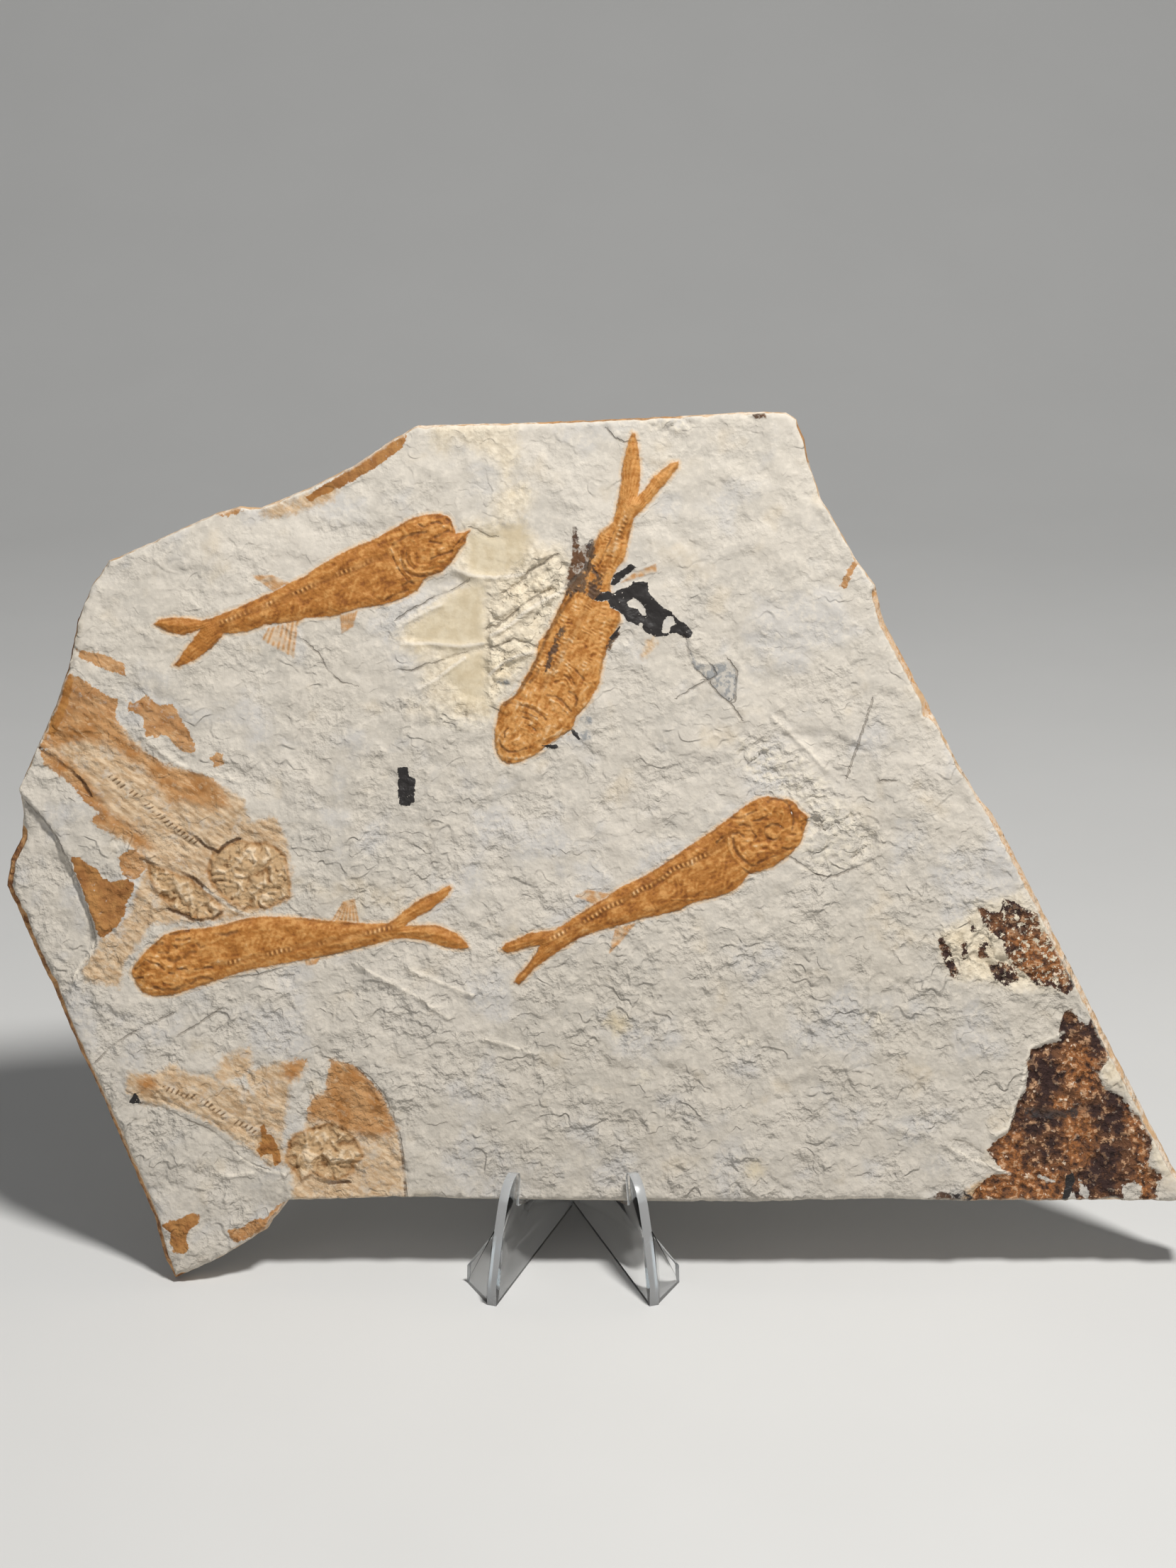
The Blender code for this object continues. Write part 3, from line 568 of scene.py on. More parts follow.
WINDOWS = {
    "upper": [(108.2, 26.8), (111.9, 27.2), (114.2, 25.9), (115.3, 23.8), (111.2, 22.8), (109.1, 24.3)],
    "lower": [(113.5, 3.7), (115.7, 4.3), (117.5, 3.2), (116.9, 1), (114.3, -0.7), (113.1, 1.6)],
    "side": [(118.9, 10.7), (122.4, 7.2), (121.4, 6), (118.5, 7.5)],
    "foot_a": [(95.7, 5.7), (97.6, 5.4), (99.8, 4.3), (97.9, 4.1)],
    "foot_b": [(101.2, 2.4), (102.8, 2.8), (104.2, 0.1), (101.8, -0.3)],
    "foot_c": [(104.3, 4.9), (106.2, 3.2), (106.4, 0.1), (104.6, 1.6)],
}
OCHRE = {
    "patch": [(98.3, 19.9), (99.5, 22.2), (100.9, 23.4), (102.4, 21.3), (102.1, 19), (99.8, 18.7)],
    "foot": [(77.7, -0.7), (81.5, 3.1), (86.2, 7.2), (87.6, 12.8), (90.8, 15.7), (93.1, 14.3), (92.9, 8.4),
        (96.7, 6.9), (101.1, 8.4), (101.1, -0.7)],
    "centre": [(101, 18.4), (105.7, 19.3), (108, 14.3), (106.9, 8.4), (102.8, 6.9), (100.4, 11.3)],
    "upper": [(101.5, 32.5), (105.3, 32.8), (108.5, 29.3), (107.7, 24.3), (105.3, 20.7), (102.7, 24),
        (100.6, 28.1)],
    "crumbs": [(86.1, 58.2), (92, 55.6), (97.8, 55), (100.8, 50.6), (101.5, 44.8), (95.7, 45.4), (92, 48.7),
        (89.1, 54.6)],
    "side": [(113.5, 20.2), (116.5, 17.2), (118.3, 11.3), (119.8, -0.4), (115.7, -0.4), (116.3, 8.4)],
}


def rust(u, v, height, marks):
    crust = depth_in(u, v, RUST.values())
    marks["rust"] = np.minimum(crust, -depth_in(u, v, WINDOWS.values()))
    marks["ochre"] = depth_in(u, v, OCHRE.values())
    sunk = smooth(depth_in(u, v, [RUST["corner"]]) / 0.8 + 0.5)
    rough = smooth(marks["rust"] / 0.8 + 0.5)
    grains = swells(u, v, (0.3, 3.1, 31), (0.22, 1.5, 32), (0.12, 0.8, 33))
    return height - 0.6 * sunk + 0.8 * rough * grains


def rust_colour(where, grain, colour, buff):
    """The face with the crust on it, the share of the crust, and its crumbs."""
    crumbs = noise(where, 1.5, 3.0, 0.58)
    # On the crumbled buff stone the crust is broken up.
    breaks = times(ramp(buff, 0.1, 0.4), ramp(grain.ragged, 0.55, 0.6))
    rusty = times(edge_of(where, grain, "rust", 2.6, 0.2), maths("SUBTRACT", 1.0, breaks))
    thin = edge_of(where, grain, "ochre", 5.0, 3.0)
    blotches = maths("SUBTRACT", noise(where, 5.5, 5.0, 0.65), 0.04)
    patches = maths("MULTIPLY_ADD", thin, 0.1, blotches)
    rust_tone = two_tone(patches, 0.42, 0.58, (58, 40, 36), (108, 73, 50))
    orange = times(thin, ramp(crumbs, 0.42, 0.54, 0.1, 0.8))
    light = times(ramp(crumbs, 0.54, 0.61), ramp(patches, 0.4, 0.58, 0.25, 1.0))
    white = times(ramp(grain.fine, 0.6, 0.65), ramp(patches, 0.46, 0.6, 0.2, 1.0))
    for share, over in ((orange, (166, 106, 58)), (light, (196, 154, 118)), (white, (236, 214, 190))):
        rust_tone = tint(share, rust_tone, paint(*over))
    rust_tone = layered(rust_tone, (crumbs, 0.41, 0.32, 0.8, (38, 26, 24)))
    return tint(rusty, colour, rust_tone), rusty, crumbs


# ==== Black mineral film ====
# A skin of black manganese oxide lies by the middle fish and in one small chip, and it thins to a blue
# grey stain towards its tail.
BLACK = {
    "main": [(7.8, 125.1), (9.4, 126.3), (11.3, 126.8), (12.4, 127.9), (14.2, 128.1), (15.2, 127.6),
        (15.5, 125.7), (17.1, 123.8), (18.5, 122.6), (20.2, 121.8), (21.4, 120.3), (23.4, 119),
        (24.5, 117.7), (24, 116.4), (22.7, 116.4), (21.4, 117.4), (20.3, 117.4), (18.8, 116.6),
        (17.2, 116.6), (15.3, 117.4), (14, 118.6), (12.6, 119.2), (11.3, 119.6), (10.1, 121.3),
        (8.7, 122.2), (7.6, 122.6), (7.1, 123.9)],
    "bar": [(7.6, 127.3), (8.2, 129.2), (10, 130.3), (11.7, 131.5), (13.1, 130.9), (11.5, 129.7),
        (9.8, 128.3), (8.5, 127)],
    "left_bit": [(4.3, 124.2), (5.6, 125.7), (7.1, 126), (8.4, 125.5), (7.5, 124.2), (5.8, 123.8)],
    "drop": [(9.7, 119), (8.7, 117.9), (7.3, 116.4), (8.1, 115.8), (9.2, 117.3)],
    "chip": [(-35.9, 89.9), (-33.9, 90), (-33.5, 88.1), (-32.3, 87.4), (-32.5, 83), (-33.5, 82),
        (-35.7, 82.4), (-35.8, 86.7)],
    "rust_bar": [(101.5, 5.4), (103, 6.2), (103.7, 4.9), (103, 3.1), (102.4, 1), (101.6, -0.3),
        (100.8, 0.7), (101.5, 3.1)],
    "small_triangle": [(-91.5, 20.6), (-90.7, 22.2), (-90.3, 23.1), (-89.6, 21.8), (-88.8, 20.6)],
    "gape": [(-0.3, 97.9), (0.5, 97.3), (2, 95.5), (1, 95.7), (-0.1, 96.7)],
    "chin": [(-6.4, 94.4), (-4.7, 94.7), (-2.2, 94.1), (-4.4, 93.6)],
}
HOLES = {
    "hole_a": [(11, 123.7), (12.3, 124.7), (13.6, 123.9), (14.7, 122.6), (15.3, 120.9), (14.2, 121.3),
        (12.9, 122.5), (11.3, 122.9)],
    "hole_b": [(18.2, 117.4), (18.5, 119.7), (19.4, 121.3), (20.7, 120.3), (21, 119.3), (20, 118.7),
        (19.5, 117.4)],
    "hole_c": [(13.4, 119.3), (13.9, 119.7), (14.5, 119.2), (13.9, 118.6)],
}
DARK = {
    "rust_foot": [(72.7, 0.7), (75.9, 2.5), (78.4, 1.8), (80.6, 2.5), (83, 1), (79.5, -0.7), (73.6, -0.7)],
    "rust_seam": [(92.2, 19.9), (96, 19.7), (101, 19.1), (103.9, 19.6), (104.2, 18.1), (99.5, 17.4),
        (94, 17.9)],
    "top_rim": [(36.4, 162.5), (39, 162.6), (39.3, 161.3), (37, 161.2)],
    "spike": [(0, 139), (0.7, 139.3), (1.1, 136.1), (1.7, 132.3), (0.8, 130), (-0.3, 130.9), (0, 134.5)],
    "spike_b": [(3.6, 136.7), (4.3, 136.1), (3.6, 133.5), (2.3, 130.9), (0.8, 130.9), (1.4, 133.8)],
    "fin_root": [(-0.9, 130.9), (2, 132.6), (4.3, 131.5), (5.5, 128.9), (3.7, 127.1), (0.8, 127.1),
        (-0.6, 125.4), (-1.6, 124.2), (-1.5, 127.4)],
    "belly": [(8.7, 118.2), (9.8, 117.6), (8.4, 115.5), (7.2, 113.8), (6.9, 115.5)],
    "root_b": [(2, 135.2), (4, 136.1), (4.6, 133.8), (3.7, 131.5), (5.8, 129.2), (6, 125.4), (4, 124.2),
        (2, 125.4), (0.5, 124.2), (-1.2, 125.1), (-0.9, 130)],
    "flank": [(-2.7, 118.7), (-1.5, 119.3), (-1.8, 116.4), (-3.2, 113.5), (-4.7, 110), (-5.9, 109.2),
        (-5.3, 112.7)],
}
GREY = {
    "film": [(23.3, 116.1), (24.3, 113.2), (25.5, 111.2), (28.4, 110.8), (31.9, 111.6), (33.3, 109.8),
        (33.6, 107.4), (33.2, 103.9), (31.9, 103.5), (29.6, 105.4), (27.5, 107.7), (25.2, 110),
        (23.7, 112.4)],
    "crystal_a": [(1.4, 100.2), (2.9, 101), (4.3, 100.2), (3.7, 98.7), (2, 98.7)],
    "crystal_b": [(1.1, 96.7), (2.9, 97.6), (4.3, 96.7), (3.7, 95.7), (2, 95.5)],
    "crystal_c": [(-15.7, 107.4), (-14, 108.3), (-12.8, 107.4), (-14, 106.3)],
}


def black(u, v, height, marks):
    marks["black"] = np.minimum(depth_in(u, v, BLACK.values()), -depth_in(u, v, HOLES.values()))
    marks["dark"] = depth_in(u, v, DARK.values())
    marks["grey"] = depth_in(u, v, GREY.values())
    return height + 0.1 * smooth(marks["black"] / 0.3 + 0.5)


def black_colour(where, grain, colour):
    """The face with the grey, dark and black films on it, and the share of the black one."""
    grey = times(edge_of(where, grain, "grey", 1.2, 0.8), ramp(grain.fine, 0.44, 0.56, 0.15, 0.85))
    colour = tint(grey, colour, paint(138, 141, 143))
    dark = times(edge_of(where, grain, "dark", 1.8, 0.4), ramp(grain.fine, 0.4, 0.52, 0.35, 1.0))
    colour = tint(dark, colour, two_tone(grain.middle, 0.45, 0.6, (64, 58, 57), (104, 74, 52)))
    blackened = times(edge_of(where, grain, "black", 1.2, 0.12), ramp(grain.speck, 0.25, 0.3))
    return tint(blackened, colour, paint(47, 44, 43)), blackened


# ==== Older, broken fish ====
# Parts of two larger fish lie flat at the left edge: a thin brown film with a row of vertebrae, and the
# crushed bones of each head. More brown film stains the broken edges.
FILM = {
    "upper_body": [(-102.8, 109.2), (-99.2, 107.1), (-96.3, 105.4), (-93.2, 103.7), (-93.7, 101.6),
        (-93.4, 99.9), (-91.5, 96.1), (-87.6, 92.9), (-82.6, 90), (-76, 88.8), (-73.4, 87.4), (-70.7, 82.3),
        (-73.9, 81.3), (-79.4, 83), (-82.6, 82.7), (-84.8, 85.6), (-87.7, 89.3), (-90.6, 90.9),
        (-92.7, 93.2), (-95.6, 94.7), (-100.3, 95.5), (-103.6, 94.7), (-106.5, 93.5), (-109.6, 93.8),
        (-108.4, 96.7), (-106.3, 101.3)],
    "lower_body": [(-109.6, 93.8), (-106.5, 92.9), (-102.9, 90.9), (-99.7, 88), (-98.3, 85.6),
        (-96.3, 82.7), (-94.3, 80.1), (-90.5, 78.1), (-87.6, 75.4), (-86.2, 73.4), (-88.8, 73.1),
        (-91.4, 75.2), (-95.7, 76.9), (-99.2, 78.7), (-97.2, 80.8), (-99.5, 82.1), (-102.1, 85.6),
        (-104.7, 88), (-108.4, 90.3)],
    "loose_patch": [(-91.5, 103.4), (-89.5, 103.2), (-87.7, 104.8), (-86.5, 104.2), (-85.1, 102.5),
        (-82.1, 102.9), (-80.9, 101.5), (-80.2, 99.3), (-78.5, 97), (-77.2, 93.8), (-78.2, 92.6),
        (-80.8, 93.6), (-82.8, 95.8), (-84.3, 97), (-85.3, 96), (-87.6, 96.4), (-88, 100.2),
        (-90.9, 101.6)],
    "small_patch": [(-74.4, 91.7), (-73.4, 92.9), (-71.8, 92.9), (-71.7, 90.6), (-73, 89.7)],
    "streak": [(-101.9, 114), (-96.9, 113.4), (-93.2, 111.9), (-91.3, 110.5), (-91.6, 108.9),
        (-94.3, 109.5), (-97.2, 110.6), (-101, 112.5)],
    "throat": [(-93.2, 71.5), (-91.7, 72.8), (-89.8, 73.1), (-87.9, 71.5), (-87.6, 69.2), (-89.3, 67),
        (-91.3, 67), (-92.6, 68.2)],
    "corner_strip": [(-73.6, 141.7), (-71, 142.9), (-67.8, 143.3), (-67.2, 142.2), (-70.7, 141.3)],
    "quarter": [(-50, 29.7), (-47.6, 29.3), (-44.7, 28.1), (-41.8, 25.4), (-39.3, 22.2), (-37.6, 18.4),
        (-36.3, 14.6), (-42.1, 13.7), (-47.1, 14.9), (-49.4, 16.6), (-54.3, 17.2), (-55.1, 19.3),
        (-53.6, 21.9), (-51, 22.9), (-50.6, 26)],
    "cheek": [(-59.6, 28.5), (-57, 29.8), (-54.8, 29.7), (-55.1, 28.1), (-56.1, 26.5), (-58.2, 25.4),
        (-59.9, 26.5)],
    "bead_blot": [(-89.7, 24.8), (-88.4, 26.2), (-86.5, 26), (-85.5, 24.4), (-86.5, 22.8), (-88.7, 23.1)],
    "notch_blot": [(-71.2, -5.6), (-68.4, -5.2), (-66.2, -3.7), (-63.4, -3.1), (-61, -0.4), (-59.1, 0.1),
        (-59.7, -2.2), (-61.8, -4.7), (-63.6, -5.9), (-67.2, -7.2), (-69.4, -8.3), (-70.9, -7.1)],
    "right_streak": [(54.6, 126.8), (55.9, 130), (57.6, 132.6), (58.5, 132.2), (57, 129.2), (55.7, 126.5)],
}
DEEP = {
    "tail_triangle": [(-103.1, 71.7), (-101.2, 71.4), (-99.3, 69.9), (-97.7, 69), (-96.4, 67),
        (-94.1, 66.4), (-91.4, 67.1), (-90, 66.1), (-90.4, 64.1), (-91.8, 61.7), (-92.2, 59.4),
        (-93.7, 57.2), (-95.6, 55.5), (-97.2, 55), (-98.1, 57.4), (-99.1, 60.3), (-100.5, 64.2),
        (-102.1, 67.9)],
    "left_edge": [(-104.8, 108), (-102.8, 109.2), (-102.2, 107.4), (-103.4, 103.4), (-104.6, 99.6),
        (-106.6, 96.1), (-108.1, 97), (-106.3, 101.3)],
    "gill_blot": [(-64.6, 15.7), (-63.6, 16.3), (-63, 14.3), (-61.9, 13.7), (-60.7, 11), (-60.1, 8.4),
        (-61.5, 7.7), (-62.2, 9.9), (-63.5, 10.3), (-64.4, 9.3), (-65.2, 11), (-64.2, 13.4)],
    "corner_blot": [(-85.1, -4.7), (-83, -3.7), (-80.8, -3.1), (-78.6, -2.2), (-77, -2.5), (-77.3, -4.3),
        (-78.6, -5.3), (-79.9, -6.5), (-80, -8.1), (-79.1, -9.6), (-80.6, -10.5), (-82.3, -10.5),
        (-83.3, -8.1), (-83.2, -6.3)],
    "edge_strip": [(-54.4, 145.3), (-45, 151.4), (-37.1, 156.4), (-33.4, 158.4), (-35, 155), (-40, 151.4),
        (-44.9, 148.5), (-50.4, 145.8), (-53.9, 144.2)],
}
WASH = {
    "edge_wash": [(-64, 141.9), (-61.1, 143.6), (-54.4, 145.9), (-47.5, 147.9), (-49, 144.8),
        (-54.7, 142.7), (-60.5, 141)],
    "old_fish": [(-108.4, 90.9), (-107.2, 96.1), (-102.8, 101.9), (-94.1, 99.6), (-86.2, 91.7),
        (-73.9, 87.4), (-67.4, 83.3), (-66.4, 78.7), (-61.1, 79.8), (-58.8, 74.9), (-57.7, 68.2),
        (-57.8, 63.2), (-62.4, 60.6), (-71.1, 58.5), (-79.6, 58.2), (-86.6, 57.9), (-89.2, 53.8),
        (-92.1, 50), (-93.1, 44.8), (-100, 46), (-100.9, 48.3), (-98.5, 51.8), (-96.5, 55), (-93.3, 57.1),
        (-91.2, 60), (-89.1, 65.5), (-87.6, 69), (-89.9, 73.4), (-95.7, 76.9), (-97.2, 81.3),
        (-101.5, 86.2)],
    "old_spine": [(-91.7, 27.2), (-86.5, 26.6), (-82.1, 29), (-79.8, 26.9), (-74.2, 26), (-67.7, 24),
        (-63.1, 19.9), (-60.5, 14.3), (-59.4, 8.4), (-62.3, 7.5), (-66.1, 11), (-71.1, 14), (-76.9, 17.8),
        (-83, 19.9), (-88.8, 20.7), (-92, 23.1)],
    "old_gill": [(-67.6, 26.6), (-64, 28.1), (-60.2, 29.1), (-55.9, 29.8), (-54.8, 28.4), (-56.1, 26),
        (-58.5, 24.3), (-58.9, 20.2), (-59.7, 15.7), (-60.3, 12.5), (-63.7, 17.2), (-65.5, 21.6),
        (-66.6, 24.3)],
    "old_fin": [(-71.8, 30.7), (-69.2, 31.9), (-66.6, 32.2), (-66, 28.1), (-68.7, 26), (-73, 24.8),
        (-74.2, 26.6)],
    "quarter": [(-50, 29.8), (-44.7, 28.1), (-39.3, 22.2), (-36.3, 15), (-35.1, 9.6), (-34.6, 0.7),
        (-53.9, -0.1), (-57.7, 0.4), (-58.2, 6.9), (-59.7, 8.7), (-58.8, 13.1), (-55.3, 15.7),
        (-53.8, 21.9), (-50.6, 23.4)],
    "below_patch": [(13.9, 112.1), (15.3, 116.1), (16.5, 116.7), (17.1, 115.3), (15, 112.9)],
    "lip_lower_right": [(79.2, 0.4), (82.1, 3.7), (86.5, 5.7), (92.3, 5.4), (92.3, -0.1)],
}
SKULL = {
    "old_skull": [(-74, 72.8), (-71.3, 74), (-68.7, 75.2), (-65.8, 74.6), (-62.9, 74.7), (-60.6, 73.4),
        (-58.8, 71.7), (-58, 67), (-57.8, 63.2), (-62.4, 60.9), (-67.5, 60.6), (-70.8, 62), (-74.3, 65.5),
        (-75.4, 68.7)],
    "old_jaw": [(-87.6, 70.5), (-82.7, 68.7), (-78.6, 67.3), (-75.5, 64.7), (-72.3, 61.7), (-71.7, 59.4),
        (-74, 58.4), (-78.7, 58.8), (-82.2, 60.6), (-85.4, 63.8), (-87.1, 67)],
    "low_skull": [(-58.9, 12.5), (-57.3, 14.3), (-55, 15.4), (-51.6, 16.5), (-48.6, 16.8), (-46.2, 14.9),
        (-44.3, 12.8), (-42.9, 9.4), (-44.9, 8.2), (-45.1, 6.2), (-48, 4.6), (-50.9, 4.6), (-53.7, 6),
        (-55.9, 4.6), (-58.1, 6.9), (-59.4, 8.7)],
}
SPINES = {
    "old": [(-97.4, 90.6), (-95.4, 88.7), (-93.3, 86.9), (-91, 85.1), (-88.7, 83.6), (-86.4, 81.4),
        (-83.8, 79.2), (-81.5, 77.2), (-78.9, 75.4), (-76.3, 73.7)],
    "low": [(-86, 24.3), (-82.3, 23.2), (-78.6, 22.1), (-75.4, 20.4), (-72.5, 18.7), (-69.6, 16.8),
        (-66.7, 15.3), (-64.3, 13.7)],
}
BEAD_PITCH = 1.05


def wave(x, pitch):
    return np.cos(2.0 * math.pi * x / pitch)


def vertebrae(u, v, line):
    """How much of a row of beads each place is in, and the beads as a wave along it."""
    along, across, run = along_line(u, v, line)
    ends = smooth(along / 2.0) * smooth((run - along) / 2.0)
    sway = across + 0.35 * swell(along, 0.0 * along, 2.5, 40)
    row = smooth(1.7 - np.abs(sway) / 0.5) * ends * smooth(0.8 + swell(u, v, 2.0, 39))
    turns = 2.0 * math.pi * (along - 0.4 * across) / BEAD_PITCH
    return row, np.cos(turns + swell(along, across, 2.2, 38))


def old_fish(u, v, height, marks):
    for name, outlines in (("film", FILM), ("deep", DEEP), ("wash", WASH), ("skull", SKULL)):
        marks[name] = depth_in(u, v, outlines.values())
    marks["bead"] = np.zeros(len(u))
    height = height + 0.06 * smooth(np.maximum(marks["film"], marks["deep"]) / 0.4 + 0.5)
    for line in SPINES.values():
        some = near(u, v, line)
        row, beads = vertebrae(u[some], v[some], line)
        marks["bead"][some] += row * beads
        height[some] += row * (0.1 + 0.14 * beads)
    crushed = smooth(marks["skull"] / 1.2 + 0.4)
    bent_u, bent_v = bent(u, v, 1.2, 2.6, 41)
    marks["fold"] = 0.7 * stepped(swell(bent_u, bent_v, 2.8, 43), 0.5, 0.5)
    marks["fold"] += 0.5 * stepped(swell(bent_u, bent_v, 1.3, 44), 0.45, 0.6)
    height += crushed * (0.8 * marks["fold"] + 0.12 * swell(u, v, 0.8, 49))
    skin = smooth(np.maximum(marks["wash"], marks["film"]) + 0.5) * (1.0 - crushed)
    lean_u, lean_v = 0.82 * u - 0.57 * v, 0.57 * u + 0.82 * v
    height += skin * 0.2 * swell(lean_u / 3.5, lean_v, 1.0, 45)
    ribs = wave(v + 0.12 * u + 0.5 * swell(u, v, 4.0, 46), 1.3)
    return height + skin * 0.07 * ribs * smooth(0.4 + 1.4 * swell(u, v, 5.0, 47))


def film_colour(where, grain, colour):
    """The face with the brown film on it, and how brown it is."""
    along_body = put("Mapping", {
        "Vector": where, "Rotation": (0.0, 0.6, 0.0), "Scale": (4.0, 1.0, 1.0),
    }, vector_type="TEXTURE").outputs[0]
    fibres = noise(along_body, 0.8, 4.0, 0.65)
    wash = edge_of(where, grain, "wash", 3.2, 1.6)
    wash_tone = two_tone(fibres, 0.36, 0.64, (216, 190, 157), (186, 153, 115))
    patchy = ramp(noise(where, 3.0, 4.0, 0.7), 0.32, 0.5, 0.45, 0.95)
    colour = tint(times(wash, patchy), colour, wash_tone)
    # The film ends sharply on bare stone and fades into the wash.
    film = tint(wash, edge_of(where, grain, "film", 2.2, 0.25), edge_of(where, grain, "film", 3.0, 2.6))
    mottle = noise(where, 4.0, 4.0, 0.6)
    film_tone = two_tone(mottle, 0.35, 0.65, (167, 114, 60), (190, 144, 96))
    film_tone = layered(film_tone, (fibres, 0.46, 0.34, 0.6, (212, 176, 134)))
    worn = ramp(noise(where, 2.0, 4.0, 0.7), 0.3, 0.45, 0.45, 0.96)
    colour = tint(times(film, worn), colour, film_tone)
    mottle = noise(where, 3.0, 4.0, 0.6)
    deep_tone = two_tone(mottle, 0.35, 0.65, (146, 94, 42), (178, 126, 68))
    worn = ramp(grain.ragged, 0.22, 0.36, 0.3, 0.97)
    colour = tint(times(edge_of(where, grain, "deep", 1.6, 0.25), worn), colour, deep_tone)
    return colour, maths("MAXIMUM", wash, film)


def bone_colour(where, grain, colour):
    """The face with the crushed heads and the rows of vertebrae on it."""
    fold = moved(mark(where, "fold"), grain.fine, 2.4)
    from_edge = maths("MULTIPLY_ADD", grain.ragged, 1.6, mark(where, "skull"))
    # The crushed bone's colour follows its folds, darker in their hollows and paler on their crests: partly
    # painted shade and painted highlight, partly the bone's own mottling, with its real orange brown
    # towards its edges.
    bone_tone_and_painted_light = two_tone(fold, -0.8, -0.1, (138, 100, 60), (192, 160, 120))
    bone_tone_and_painted_light = layered(bone_tone_and_painted_light, (fold, 0.05, 0.7, 1.0, (226, 202, 170)),
                        (from_edge, 1.9, 1.1, 0.6, (160, 112, 62)))
    skull = edge_of(where, grain, "skull", 1.2, 0.8)
    colour = tint(times(skull, 0.95), colour, bone_tone_and_painted_light)
    bead = mark(where, "bead")
    return layered(colour, (bead, -0.15, -0.6, 0.8, (104, 76, 46)),
                   (bead, 0.3, 0.8, 0.45, (226, 202, 168)))


# ==== The slab, as one mesh ====
# The whole sheet in one piece: the face with all its marks, the broken edges with their bedding, and
# the plain split back. Mesh points lie closer together where the face has something to show.
FISH_RISE = 0.65  # how far the stone swells over a fish
FISH_HOLLOW = 0.3  # the stone is this far below a fish's own surface
EASEL_HOLDS = (24.0, 15.0)  # half width and height of the part of the face between the easel's hooks
PITCHES = (0.93, 0.44, 0.26)  # on plain stone, on marks and on the older fish's bones
HEX_ROW = 0.866  # distance between the rows of a grid of even triangles, for points 1 apart
EDGE_PITCH = 0.78  # round the broken edge
BACK_PITCH = 3.0
BACK = -THICKNESS + 0.45  # height of the back, before its hollows
FACE_LOW, FACE_HIGH = (-118.0, -17.0), (130.0, 164.0)  # corners of a box round the face
# The marks and the lines that need the closer points.
MARKED = ("film", "deep", "rough", "wash", "skull", "cream", "black", "rust", "grey", "dark")
BONY = [*SKULL.values(), *SPINES.values()]
